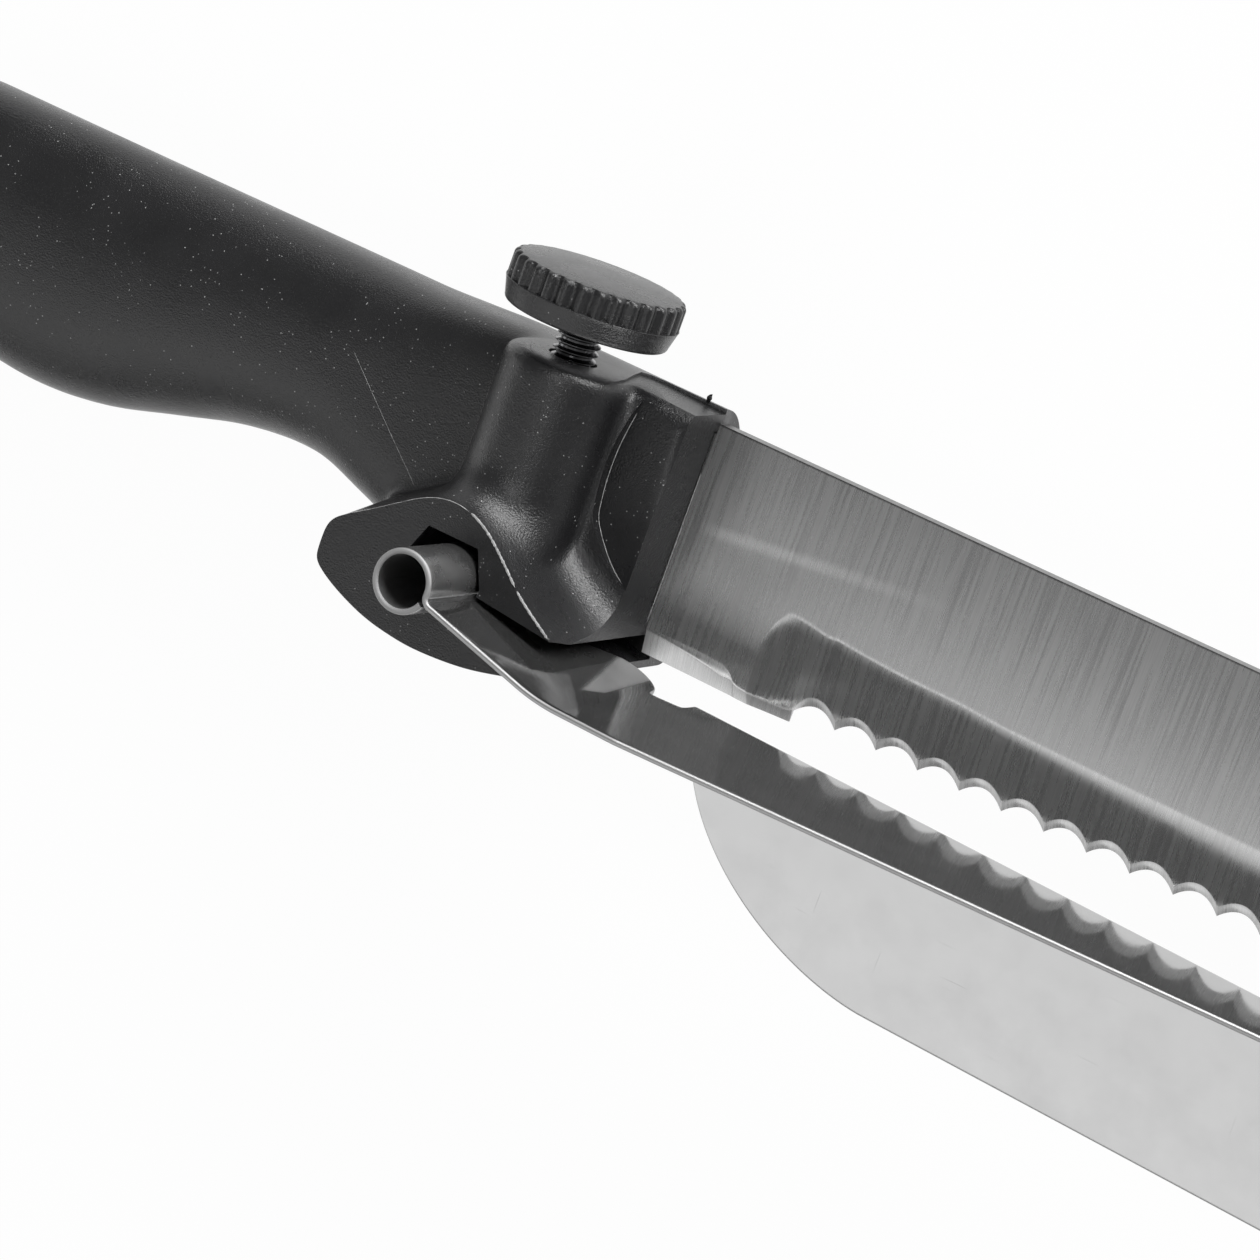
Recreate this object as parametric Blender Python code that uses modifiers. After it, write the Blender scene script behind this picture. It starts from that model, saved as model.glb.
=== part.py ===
"""Slicing knife with an adjustable slice guide, modelled in metres with +Z up.

The knife lies on its flat back. Its datum is the point where the blade's spine leaves the bolster,
in the blade's middle plane: from there X runs along the blade to its tip, Y across the blade to the
side of the spine, and Z away from the table. The origin is on the flat back of the handle, below
the axis of the clamping screw and level with the middle of the blade's height.
"""

import math

import bmesh
import bpy
from mathutils import Matrix, Vector

# Fits
FIT_GAP = 0.0003
THREAD_GAP = 0.0003
SLOT_GAP = 0.0013
CUT_MARGIN = 0.004
MERGE_DISTANCE = 0.00001

# Blade
BLADE_LENGTH = 0.200
BLADE_HEIGHT = 0.0306
BLADE_THICKNESS = 0.0020
BLADE_TIP_LENGTH = 0.040
BLADE_TIP_DROP = 0.0245
BLADE_TIP_BACK = 0.0020
HEEL_LENGTH = 0.0229
HEEL_DEPTH = 0.0016
HEEL_BEVEL_HEIGHT = 0.0024
TOOTH_PITCH = 0.00624
TOOTH_DEPTH = 0.0017
TOOTHLESS_TIP = 0.0060
EDGE_BEVEL_HEIGHT = 0.0013
EDGE_THICKNESS = 0.0007
GRIND_HEIGHT = 0.0110
GRIND_START = 0.0180
ROOT_LENGTH = 0.0100
ROOT_TOP = 0.0015
ROOT_BOTTOM = 0.0255
TANG_LENGTH = 0.1080
TANG_TOP = 0.0040
TANG_HEIGHT = 0.0155
TANG_TIP_CUT = 0.0040

# Handle
GRIP_LENGTH = 0.1350
GRIP_CREST = 0.0010
BUTT_HEIGHT = 0.0320
BELLY_AT = 0.1000
BELLY_HEIGHT = 0.0360
WAIST_AT = 0.0530
WAIST_HEIGHT = 0.0274
BLOCK_AT = 0.0340
BLOCK_CREST = 0.0019
BLOCK_BOTTOM = 0.0306
CREST_RISE_AT = 0.0460
CREST_RISE_LENGTH = 0.0180
BUTT_ROUNDING = 0.0130
GRIP_HALF_THICKNESS = 0.0100
BLOCK_NEAR_DEPTH = 0.0105
BACK_DEPTH = 0.0097
BACK_CROWN = 0.0004
GRIP_SQUARENESS = 2.5
BLOCK_NEAR_SQUARENESS = 6.0
BLOCK_BACK_SQUARENESS = 2.1
BOSS_RADIUS = 0.0088
BOSS_FOOT = 0.0270

# Clamp wing, the plate that carries the guide on the near side of the block
WING_DEPTH = 0.0247
WING_BACK_DEPTH = 0.0090
WING_REAR = 0.0363
WING_REAR_TOP = 0.0274
WING_REAR_BOTTOM = 0.0336
WING_HUMP_TOP = 0.0186
WING_HUMP_AT = 0.0190
WING_SHOULDER_CURVE = 1.5
WING_LIP_BEYOND = 0.0057
WING_BELLY = 0.0385
WING_BELLY_AT = 0.0170
WING_BELLY_CURVE = 1.7
WING_RISE = 0.0028
SADDLE_RADIUS = 0.0055
SADDLE_SINK = 0.0020
JAW_END = 0.0005
JAW_TIP_THICKNESS = 0.0012

# Clamping screw
SCREW_TO_FRONT = 0.0178
SCREW_DEPTH = 0.0112
STUD_DIAMETER = 0.0060
STUD_TIP_CHAMFER = 0.0008
KNOB_STANDOFF = 0.0047
KNOB_DIAMETER = 0.0235
KNOB_HEIGHT = 0.0066
KNOB_DOME = 0.0006
KNOB_FOOT_DIAMETER = 0.0222
KNURL_HEIGHT = 0.0035
KNURL_COUNT = 30
KNURL_DEPTH = 0.0005
STUD_SOCKET_DEPTH = 0.0040
INSERT_DIAMETER = 0.0086
INSERT_LENGTH = 0.0110
INSERT_COVER = 0.0040

# Slice guide, one piece of bent spring sheet
SHEET = 0.0008
LOOP_DIAMETER = 0.0085
LOOP_BELOW_SPINE = 0.0280
LOOP_REACH = 0.0024
LOOP_START_DEG = -45.0
LOOP_LEAVE_DEG = -5.0
NECK_RADIUS = 0.0012
ARM_SLOPE_DEG = 14.5
ARM_LENGTH = 0.0155
BEND_RADIUS = 0.0275
SHELF_DROOP_DEG = 0.8
SHELF_TILT_DEG = 2.0
GUIDE_NEAR_EDGE = 0.0363
GUIDE_SLOT_EDGE = 0.0110
GUIDE_NECK_EDGE = 0.0080
NECK_STEP_START = -0.0015
NECK_STEP_END = 0.0023
NOTCH_START = 0.0088
NOTCH_END = 0.0132
NOTCH_DEPTH = 0.0040
FENCE_FACE = 0.0078
FENCE_START = 0.0138
FENCE_END = 0.1750
FENCE_HEIGHT = 0.0265
FENCE_BEND_RADIUS = 0.0012
FENCE_HEEL_LENGTH = 0.0350
FENCE_HEEL_SQUARENESS = 1.75
FENCE_TOE_LENGTH = 0.0140
FENCE_TOE_SQUARENESS = 2.0
TAPER_START = 0.0170
SHELF_END_WIDTH = 0.0036

# Pocket that the loop hangs in, and the slot for the arm, both closed at the back of the block
POCKET_TOP_WIDTH = 0.0077
POCKET_MIDDLE_WIDTH = 0.0121
POCKET_ROOF = 0.0229
POCKET_BEHIND_SCREW = 0.0009
POCKET_BACK_DEPTH = 0.0077
SLOT_BACK_DEPTH = 0.0040


def clear_scene():
    """Remove every object, so that the script builds the same model each time it is run."""
    for scene_object in list(bpy.data.objects):
        bpy.data.objects.remove(scene_object, do_unlink=True)


def make_collection(name):
    collection = bpy.data.collections.new(name)
    bpy.context.scene.collection.children.link(collection)
    return collection


def make_material(name, colour, roughness, metallic):
    material = bpy.data.materials.new(name)
    material.use_nodes = True
    shader = material.node_tree.nodes["Principled BSDF"]
    shader.inputs["Base Color"].default_value = (*colour, 1.0)
    shader.inputs["Roughness"].default_value = roughness
    shader.inputs["Metallic"].default_value = metallic
    return material


def place(name, mesh, collection, parent=None, location=(0.0, 0.0, 0.0)):
    """Link a mesh as an object at a place in its parent's frame."""
    placed = bpy.data.objects.new(name, mesh)
    collection.objects.link(placed)
    placed.parent = parent
    placed.location = location
    return placed


def mesh_from(bm, name):
    bmesh.ops.recalc_face_normals(bm, faces=bm.faces)
    mesh = bpy.data.meshes.new(name)
    bm.to_mesh(mesh)
    bm.free()
    return mesh


def dress(part, material):
    """Give a finished part its material, and shade its round faces smooth."""
    part.data.materials.clear()
    part.data.materials.append(material)
    part.data.shade_smooth()
    part.data.set_sharp_from_angle(angle=math.radians(30.0))


def as_cutter(cutter):
    cutter.hide_render = True
    cutter.display_type = "WIRE"
    return cutter


def boolean(target, tool, operation):
    """Add an exact Boolean with a tool object to the target."""
    modifier = target.modifiers.new(tool.name, "BOOLEAN")
    modifier.operation = operation
    modifier.solver = "EXACT"
    modifier.object = tool


def prism(name, outline, low, high, along="Z"):
    """Mesh of a filled 2D curve, extruded from low to high along Z, or along X for an outline in YZ."""
    curve = bpy.data.curves.new(name, "CURVE")
    curve.dimensions = "2D"
    curve.fill_mode = "BOTH"
    curve.extrude = (high - low) / 2.0
    spline = curve.splines.new("POLY")
    spline.points.add(len(outline) - 1)
    for point, (u, v) in zip(spline.points, outline):
        point.co = (u, v, 0.0, 1.0)
    spline.use_cyclic_u = True
    holder = bpy.data.objects.new(name, curve)
    bpy.context.scene.collection.objects.link(holder)
    bpy.context.view_layer.update()
    evaluated = holder.evaluated_get(bpy.context.evaluated_depsgraph_get())
    mesh = bpy.data.meshes.new_from_object(evaluated)
    bpy.data.objects.remove(holder, do_unlink=True)
    turn = Matrix.Identity(4)
    if along == "X":
        turn = Matrix(((0, 0, 1, 0), (1, 0, 0, 0), (0, 1, 0, 0), (0, 0, 0, 1)))
    bm = bmesh.new()
    bm.from_mesh(mesh)
    bmesh.ops.remove_doubles(bm, verts=bm.verts, dist=MERGE_DISTANCE)
    bmesh.ops.translate(bm, verts=bm.verts, vec=(0.0, 0.0, (low + high) / 2.0))
    bmesh.ops.transform(bm, verts=bm.verts, matrix=turn)
    bpy.data.meshes.remove(mesh)
    return mesh_from(bm, name)


def cylinder_along_y(name, radius, low, high, sides=48):
    """Mesh of a cylinder on the Y axis, between two heights."""
    bm = bmesh.new()
    bmesh.ops.create_cone(bm, cap_ends=True, segments=sides, radius1=radius, radius2=radius, depth=high - low)
    bmesh.ops.rotate(bm, verts=bm.verts, matrix=Matrix.Rotation(math.radians(-90.0), 3, "X"))
    bmesh.ops.translate(bm, verts=bm.verts, vec=(0.0, (low + high) / 2.0, 0.0))
    return mesh_from(bm, name)


def turned(name, profile, steps):
    """Mesh of a profile of (radius, height) pairs, run from the top down, turned about the Y axis."""
    bm = bmesh.new()
    points = [bm.verts.new((radius, height, 0.0)) for radius, height in profile]
    for upper, lower in zip(points, points[1:]):
        bm.edges.new((upper, lower))
    mesh = bpy.data.meshes.new(name)
    bm.to_mesh(mesh)
    bm.free()
    holder = bpy.data.objects.new(name, mesh)
    bpy.context.scene.collection.objects.link(holder)
    screw = holder.modifiers.new("turn", "SCREW")
    screw.axis = "Y"
    screw.steps = steps
    screw.render_steps = steps
    screw.use_merge_vertices = True
    screw.merge_threshold = MERGE_DISTANCE
    bpy.context.view_layer.update()
    evaluated = holder.evaluated_get(bpy.context.evaluated_depsgraph_get())
    result = bpy.data.meshes.new_from_object(evaluated)
    bpy.data.objects.remove(holder, do_unlink=True)
    bm = bmesh.new()
    bm.from_mesh(result)
    bmesh.ops.remove_doubles(bm, verts=bm.verts, dist=MERGE_DISTANCE)
    bpy.data.meshes.remove(result)
    return mesh_from(bm, name)


def loft(name, rings):
    """Mesh of a closed body through rings that all have the same number of points."""
    bm = bmesh.new()
    loops = [[bm.verts.new(point) for point in ring] for ring in rings]
    count = len(loops[0])
    for lower, upper in zip(loops, loops[1:]):
        for i in range(count):
            j = (i + 1) % count
            bm.faces.new((lower[i], lower[j], upper[j], upper[i]))
    bm.faces.new(loops[0])
    bm.faces.new(loops[-1])
    return mesh_from(bm, name)


def eased(x, keys):
    """Height at x on a line that eases from key to key, level at each; keys run along x."""
    if x <= keys[0][0]:
        return keys[0][1]
    for (x0, y0), (x1, y1) in zip(keys, keys[1:]):
        if x <= x1:
            t = (x - x0) / (x1 - x0)
            return y0 + (y1 - y0) * t * t * (3.0 - 2.0 * t)
    return keys[-1][1]


def superellipse_quarter(t, squareness):
    """Height, from 0 to 1, of a rounded corner at t, from 0 at its foot to 1 at its shoulder."""
    t = min(max(t, 0.0), 1.0)
    return (1.0 - (1.0 - t) ** squareness) ** (1.0 / squareness)


def grip_top(x):
    crest_end = -CREST_RISE_AT + CREST_RISE_LENGTH
    return eased(x, [(-CREST_RISE_AT, GRIP_CREST), (crest_end, BLOCK_CREST)])


def grip_bottom(x):
    return eased(x, [(-GRIP_LENGTH, GRIP_CREST - BUTT_HEIGHT),
                     (-BELLY_AT, GRIP_CREST - BELLY_HEIGHT),
                     (-WAIST_AT, GRIP_CREST - WAIST_HEIGHT),
                     (-BLOCK_AT, -BLOCK_BOTTOM)])


def grip_ring(x, scale):
    """Section of the handle at x, drawn in to its middle by scale where the butt rounds off."""
    top = grip_top(x)
    bottom = grip_bottom(x)
    middle = (top + bottom) / 2.0
    half_height = (top - bottom) / 2.0 * scale
    near = eased(x, [(-WAIST_AT, GRIP_HALF_THICKNESS), (-BLOCK_AT, BLOCK_NEAR_DEPTH)]) * scale
    back = (BACK_DEPTH + BACK_CROWN) * scale
    near_squareness = eased(x, [(-WAIST_AT, GRIP_SQUARENESS), (-SCREW_TO_FRONT, BLOCK_NEAR_SQUARENESS)])
    back_squareness = eased(x, [(-WAIST_AT, GRIP_SQUARENESS), (-SCREW_TO_FRONT, BLOCK_BACK_SQUARENESS)])
    ring = []
    sides = 32
    for i in range(sides):
        angle = 2.0 * math.pi * i / sides
        c = math.cos(angle)
        s = math.sin(angle)
        squareness = near_squareness if c > 0.0 else back_squareness
        across = math.copysign(abs(c) ** (2.0 / squareness), c)
        up = math.copysign(abs(s) ** (2.0 / squareness), s)
        depth = near if c > 0.0 else back
        ring.append((x, middle + half_height * up, depth * across))
    return ring


def grip_body():
    """The moulded grip, which runs on as the block round the blade's root."""
    rings = []
    round_steps = 6
    for i in range(1, round_steps + 1):
        t = i / round_steps
        rings.append(grip_ring(-GRIP_LENGTH + BUTT_ROUNDING * (1.0 - math.cos(t * math.pi / 2.0)),
                               math.sin(t * math.pi / 2.0)))
    body_steps = 24
    start = -GRIP_LENGTH + BUTT_ROUNDING
    for i in range(1, body_steps + 1):
        rings.append(grip_ring(start - start * i / body_steps, 1.0))
    return loft("grip_body", rings)


def arm_line():
    """Start and end of the guide's arm, on its middle surface, from the knife's datum."""
    radius = (LOOP_DIAMETER - SHEET) / 2.0
    leave = math.radians(LOOP_LEAVE_DEG)
    slope = math.radians(ARM_SLOPE_DEG)
    centre = Vector((-SCREW_TO_FRONT, -LOOP_BELOW_SPINE))
    neck_centre = centre + Vector((math.cos(leave), math.sin(leave))) * (radius + NECK_RADIUS)
    start = neck_centre + Vector((-math.sin(slope), -math.cos(slope))) * NECK_RADIUS
    end = start + Vector((math.cos(slope), -math.sin(slope))) * ARM_LENGTH
    return start, end


def arm_height(x):
    """Height of the arm's middle surface at x, on the straight line that the slot follows."""
    start, end = arm_line()
    return start.y + (x - start.x) * (end.y - start.y) / (end.x - start.x)


def slot_line(x, offset):
    """Height at x of a slot wall that lies offset from the arm's middle surface, square to it."""
    return arm_height(x) + offset / math.cos(math.radians(ARM_SLOPE_DEG))


def slot_roof(x):
    return slot_line(x, SHEET / 2.0 + SLOT_GAP)


def slot_floor(x):
    return slot_line(x, -SHEET / 2.0 - FIT_GAP)


def wing_outline(rise):
    """Side view of the wing, its upper side raised by rise, clockwise from the lip of the bolster."""
    lip = slot_roof(0.0)
    rim = [(-WING_HUMP_AT, -WING_HUMP_TOP), (WING_LIP_BEYOND, lip)]
    upper = [(0.0, lip + rise)]
    hump_steps = 7
    for i in range(1, hump_steps + 1):
        x = -WING_HUMP_AT * i / hump_steps
        upper.append((x, eased(x, rim) + rise))
    shoulder_steps = 3
    for i in range(1, shoulder_steps + 1):
        t = i / shoulder_steps
        fall = (WING_REAR_TOP - WING_HUMP_TOP) * t ** WING_SHOULDER_CURVE
        upper.append((-WING_HUMP_AT - (WING_REAR - WING_HUMP_AT) * t, -WING_HUMP_TOP - fall + rise))
    lower = [(-WING_REAR, -WING_REAR_BOTTOM)]
    jaw = slot_floor(-JAW_END) - JAW_TIP_THICKNESS
    belly_steps = 4
    for i in range(1, belly_steps + 1):
        t = i / belly_steps
        sag = (WING_BELLY - WING_REAR_BOTTOM) * math.sin(t * math.pi / 2.0)
        lower.append((-WING_REAR + (WING_REAR - WING_BELLY_AT) * t, -WING_REAR_BOTTOM - sag))
    for i in range(1, belly_steps + 1):
        t = i / belly_steps
        lower.append((-WING_BELLY_AT * (1.0 - t), -WING_BELLY + (jaw + WING_BELLY) * t ** WING_BELLY_CURVE))
    return upper + lower


def wing_body():
    """The wing, a loft along Z whose upper side flares up into the block as a saddle."""
    wall = BLOCK_NEAR_DEPTH
    sections = [(-WING_BACK_DEPTH, 0.0), (wall - SADDLE_SINK, WING_RISE + SADDLE_RADIUS)]
    steps = 5
    for i in range(steps + 1):
        angle = math.pi / 2.0 * i / steps
        z = wall + SADDLE_RADIUS * (1.0 - math.cos(angle))
        share = (WING_DEPTH - z) / (WING_DEPTH - wall)
        sections.append((z, WING_RISE * share + SADDLE_RADIUS * (1.0 - math.sin(angle))))
    sections.append((WING_DEPTH, 0.0))
    rings = []
    for z, rise in sections:
        rings.append([(x, y, z) for x, y in wing_outline(rise)])
    return loft("wing_body", rings)


def pocket_outline():
    """Six-sided pocket round the guide's loop, with a floor that the screw presses the loop on."""
    middle_y = -LOOP_BELOW_SPINE
    floor = middle_y - LOOP_DIAMETER / 2.0 - FIT_GAP
    half_top = POCKET_TOP_WIDTH / 2.0
    half_middle = POCKET_MIDDLE_WIDTH / 2.0
    x = -SCREW_TO_FRONT - POCKET_BEHIND_SCREW
    return [(x - half_top, -POCKET_ROOF), (x - half_middle, middle_y), (x - half_top, floor),
            (x + half_top, floor), (x + half_middle, middle_y), (x + half_top, -POCKET_ROOF)]


def slot_outline():
    """Slot from the pocket out through the front of the block, just above and below the arm."""
    inner = -SCREW_TO_FRONT
    outer = CUT_MARGIN
    return [(inner, slot_roof(inner)), (inner, slot_floor(inner)),
            (outer, slot_floor(outer)), (outer, slot_roof(outer))]


def tang_outline(front, clearance):
    """Side view of the blade's root and tang from front backward, grown by a clearance."""
    g = clearance
    tang_bottom = -TANG_TOP - TANG_HEIGHT
    return [(front, -ROOT_TOP + g), (-ROOT_LENGTH - g, -ROOT_TOP + g),
            (-ROOT_LENGTH - g, -TANG_TOP + g), (-TANG_LENGTH + TANG_TIP_CUT - g, -TANG_TOP + g),
            (-TANG_LENGTH - g, -TANG_TOP - TANG_TIP_CUT + g), (-TANG_LENGTH - g, tang_bottom + TANG_TIP_CUT - g),
            (-TANG_LENGTH + TANG_TIP_CUT - g, tang_bottom - g), (-ROOT_LENGTH - g, tang_bottom - g),
            (-ROOT_LENGTH - g, -ROOT_BOTTOM - g), (front, -ROOT_BOTTOM - g)]


def build_handle(parts, cutters, datum):
    """Grip, block, screw boss and wing as one moulding, hollowed for all that it holds."""
    handle = place("handle", grip_body(), parts, datum)
    screw_place = (-SCREW_TO_FRONT, 0.0, SCREW_DEPTH)
    boss = cylinder_along_y("boss", BOSS_RADIUS, -BOSS_FOOT, BLOCK_CREST - FIT_GAP)
    additions = [place("boss", boss, cutters, datum, screw_place),
                 place("wing", wing_body(), cutters, datum)]
    through = WING_DEPTH + CUT_MARGIN
    half_cavity = BLADE_THICKNESS / 2.0 + FIT_GAP
    tip = stud_tip_height()
    insert_top = BLOCK_CREST - INSERT_COVER
    insert_bottom = insert_top - INSERT_LENGTH
    seat_radius = INSERT_DIAMETER / 2.0 + FIT_GAP
    bore_radius = STUD_DIAMETER / 2.0 + THREAD_GAP
    seat = cylinder_along_y("insert_seat", seat_radius, insert_bottom - FIT_GAP, insert_top + FIT_GAP)
    bore = cylinder_along_y("screw_bore", bore_radius, tip - CUT_MARGIN, BLOCK_CREST + CUT_MARGIN)
    flat = prism("back_flat", [(-GRIP_LENGTH - CUT_MARGIN, CUT_MARGIN + BLOCK_CREST),
                               (-GRIP_LENGTH - CUT_MARGIN, -WING_BELLY - CUT_MARGIN),
                               (CUT_MARGIN, -WING_BELLY - CUT_MARGIN),
                               (CUT_MARGIN, CUT_MARGIN + BLOCK_CREST)],
                 -BACK_DEPTH - CUT_MARGIN, -BACK_DEPTH)
    cavity = prism("tang_cavity", tang_outline(CUT_MARGIN, FIT_GAP), -half_cavity, half_cavity)
    removals = [place("tang_cavity", cavity, cutters, datum),
                place("loop_pocket", prism("loop_pocket", pocket_outline(), -POCKET_BACK_DEPTH, through),
                      cutters, datum),
                place("guide_slot", prism("guide_slot", slot_outline(), -SLOT_BACK_DEPTH, through),
                      cutters, datum),
                place("insert_seat", seat, cutters, datum, screw_place),
                place("screw_bore", bore, cutters, datum, screw_place),
                place("back_flat", flat, cutters, datum)]
    for tool in additions:
        boolean(handle, as_cutter(tool), "UNION")
    for tool in removals:
        boolean(handle, as_cutter(tool), "DIFFERENCE")
    dress(handle, make_material("handle_black_plastic", (0.030, 0.030, 0.031), 0.52, 0.0))


def blade_outline():
    """Side view of the blade from its spine round the tip and the tang, before the edge is ground."""
    edge = -BLADE_HEIGHT - HEEL_DEPTH
    outline = [(FIT_GAP, 0.0)]
    tip_steps = 14
    for i in range(tip_steps + 1):
        angle = math.pi / 2.0 * i / tip_steps
        outline.append((BLADE_LENGTH - BLADE_TIP_LENGTH * (1.0 - math.sin(angle)),
                        -BLADE_TIP_DROP * (1.0 - math.cos(angle))))
    outline.append((BLADE_LENGTH - BLADE_TIP_BACK, edge))
    outline.append((FIT_GAP, edge))
    return outline + tang_outline(FIT_GAP, 0.0)[::-1]


def scallop_outline():
    """Outline of what the serrating wheel takes off below the blade's edge."""
    deep = -BLADE_HEIGHT - HEEL_DEPTH - CUT_MARGIN
    first = HEEL_LENGTH + TOOTH_PITCH
    count = int((BLADE_LENGTH - TOOTHLESS_TIP - first) / TOOTH_PITCH)
    outline = [(HEEL_LENGTH, deep), (HEEL_LENGTH, -BLADE_HEIGHT)]
    steps = 6
    for tooth in range(count + 1):
        start = HEEL_LENGTH + tooth * TOOTH_PITCH
        for i in range(1, steps + 1):
            u = 2.0 * i / steps - 1.0
            outline.append((start + TOOTH_PITCH * i / steps, -BLADE_HEIGHT + TOOTH_DEPTH * (1.0 - u * u)))
    outline.append((BLADE_LENGTH + CUT_MARGIN, -BLADE_HEIGHT))
    outline.append((BLADE_LENGTH + CUT_MARGIN, deep))
    return outline


def ground_face(name, ridge, height, start, end):
    """Wedge that grinds the near side from a ridge down to the edge's thickness, height below it."""
    half = BLADE_THICKNESS / 2.0
    fall = (BLADE_THICKNESS - EDGE_THICKNESS) / height
    deep = height + HEEL_DEPTH
    wedge = [(ridge + CUT_MARGIN, half + fall * CUT_MARGIN), (ridge - deep, half - fall * deep),
             (ridge - deep, half + CUT_MARGIN), (ridge + CUT_MARGIN, half + CUT_MARGIN)]
    return prism(name, wedge, start, end, along="X")


def build_blade(parts, cutters, datum):
    """Stamped steel blade and tang of one sheet, ground and serrated on the near side only."""
    half = BLADE_THICKNESS / 2.0
    blade = place("blade", prism("blade", blade_outline(), -half, half), parts, datum)
    grind = ground_face("grind", -BLADE_HEIGHT + GRIND_HEIGHT, GRIND_HEIGHT, GRIND_START, BLADE_LENGTH + CUT_MARGIN)
    heel_top = -BLADE_HEIGHT - HEEL_DEPTH + HEEL_BEVEL_HEIGHT
    heel = ground_face("heel_bevel", heel_top, HEEL_BEVEL_HEIGHT, FIT_GAP / 2.0, GRIND_START)
    lean = EDGE_BEVEL_HEIGHT / EDGE_THICKNESS
    scallops = prism("scallops", scallop_outline(), -CUT_MARGIN - half, CUT_MARGIN + half)
    shear = Matrix(((1, 0, 0, 0), (0, 1, lean, lean * half), (0, 0, 1, 0), (0, 0, 0, 1)))
    scallops.transform(shear)
    for name, tool in (("grind", grind), ("heel_bevel", heel), ("scallops", scallops)):
        boolean(blade, as_cutter(place(name, tool, cutters, datum)), "DIFFERENCE")
    dress(blade, make_material("blade_brushed_steel", (0.52, 0.52, 0.53), 0.33, 1.0))


def far_edge(x):
    """Far edge of the strip, at x from the bolster, up to where the fence is bent down."""
    if x <= -SCREW_TO_FRONT + LOOP_DIAMETER / 2.0:
        return -LOOP_REACH
    if x <= NECK_STEP_START:
        return GUIDE_SLOT_EDGE
    if x <= NECK_STEP_END:
        t = (x - NECK_STEP_START) / (NECK_STEP_END - NECK_STEP_START)
        return GUIDE_SLOT_EDGE + (GUIDE_NECK_EDGE - GUIDE_SLOT_EDGE) * t
    if NOTCH_START < x < FENCE_START:
        return GUIDE_NECK_EDGE + NOTCH_DEPTH
    return GUIDE_NECK_EDGE


def near_edge(x):
    """Near edge of the strip, which tapers toward the end of the fence."""
    if x <= TAPER_START:
        return GUIDE_NEAR_EDGE
    t = (x - TAPER_START) / (FENCE_END - TAPER_START)
    return GUIDE_NEAR_EDGE + (FENCE_FACE + SHELF_END_WIDTH - GUIDE_NEAR_EDGE) * t


def fence_depth(x):
    """Height of the fence below the shelf at x, with a large round heel and a smaller round toe."""
    heel_start = FENCE_START + FENCE_BEND_RADIUS
    heel = superellipse_quarter((x - heel_start) / FENCE_HEEL_LENGTH, FENCE_HEEL_SQUARENESS)
    toe = superellipse_quarter((FENCE_END - x) / FENCE_TOE_LENGTH, FENCE_TOE_SQUARENESS)
    least = FENCE_BEND_RADIUS * 2.0
    return least + (FENCE_HEIGHT - least) * min(heel, toe)


def strip_profile():
    """Middle surface of the strip in side view, from the loop's free end to the fence's end."""
    radius = (LOOP_DIAMETER - SHEET) / 2.0
    centre = Vector((-SCREW_TO_FRONT, -LOOP_BELOW_SPINE))
    points = []
    start = math.radians(LOOP_START_DEG)
    sweep = math.radians(LOOP_LEAVE_DEG - LOOP_START_DEG - 360.0)
    loop_steps = 28
    for i in range(loop_steps + 1):
        angle = start + sweep * i / loop_steps
        points.append(centre + Vector((math.cos(angle), math.sin(angle))) * radius)
    leave = math.radians(LOOP_LEAVE_DEG)
    slope = math.radians(ARM_SLOPE_DEG)
    neck_centre = centre + Vector((math.cos(leave), math.sin(leave))) * (radius + NECK_RADIUS)
    neck_steps = 5
    turn = math.pi / 2.0 - slope - leave
    for i in range(1, neck_steps + 1):
        angle = leave + math.pi + turn * i / neck_steps
        points.append(neck_centre + Vector((math.cos(angle), math.sin(angle))) * NECK_RADIUS)
    arm_start, arm_end = arm_line()
    arm_steps = 4
    for i in range(1, arm_steps + 1):
        points.append(arm_start + (arm_end - arm_start) * i / arm_steps)
    droop = math.radians(SHELF_DROOP_DEG)
    bend_centre = arm_end + Vector((math.sin(slope), math.cos(slope))) * BEND_RADIUS
    bend_steps = 5
    for i in range(1, bend_steps + 1):
        angle = slope + (droop - slope) * i / bend_steps
        points.append(bend_centre - Vector((math.sin(angle), math.cos(angle))) * BEND_RADIUS)
    shelf = points[-1]
    stations = [NOTCH_END, FENCE_START]
    crowding = 1.5
    heel_steps = 10
    for i in range(1, heel_steps + 1):
        stations.append(FENCE_START + FENCE_HEEL_LENGTH * (i / heel_steps) ** crowding)
    first_straight = stations[-1]
    straight = FENCE_END - FENCE_TOE_LENGTH - first_straight
    straight_steps = 4
    for i in range(1, straight_steps + 1):
        stations.append(first_straight + straight * i / straight_steps)
    toe_steps = 8
    for i in range(1, toe_steps + 1):
        stations.append(FENCE_END - FENCE_TOE_LENGTH * (1.0 - i / toe_steps) ** crowding)
    for x in stations:
        if x > shelf.x:
            points.append(Vector((x, shelf.y - (x - shelf.x) * math.tan(droop))))
    return points


def shelf_rise(x, z):
    """Rise of the strip toward the blade, eased in along the arm from none at the loop."""
    full = math.tan(math.radians(SHELF_TILT_DEG))
    slope = eased(x, [(-SCREW_TO_FRONT + LOOP_DIAMETER / 2.0, 0.0), (NOTCH_START, full)])
    return slope * (near_edge(x) - z)


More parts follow.
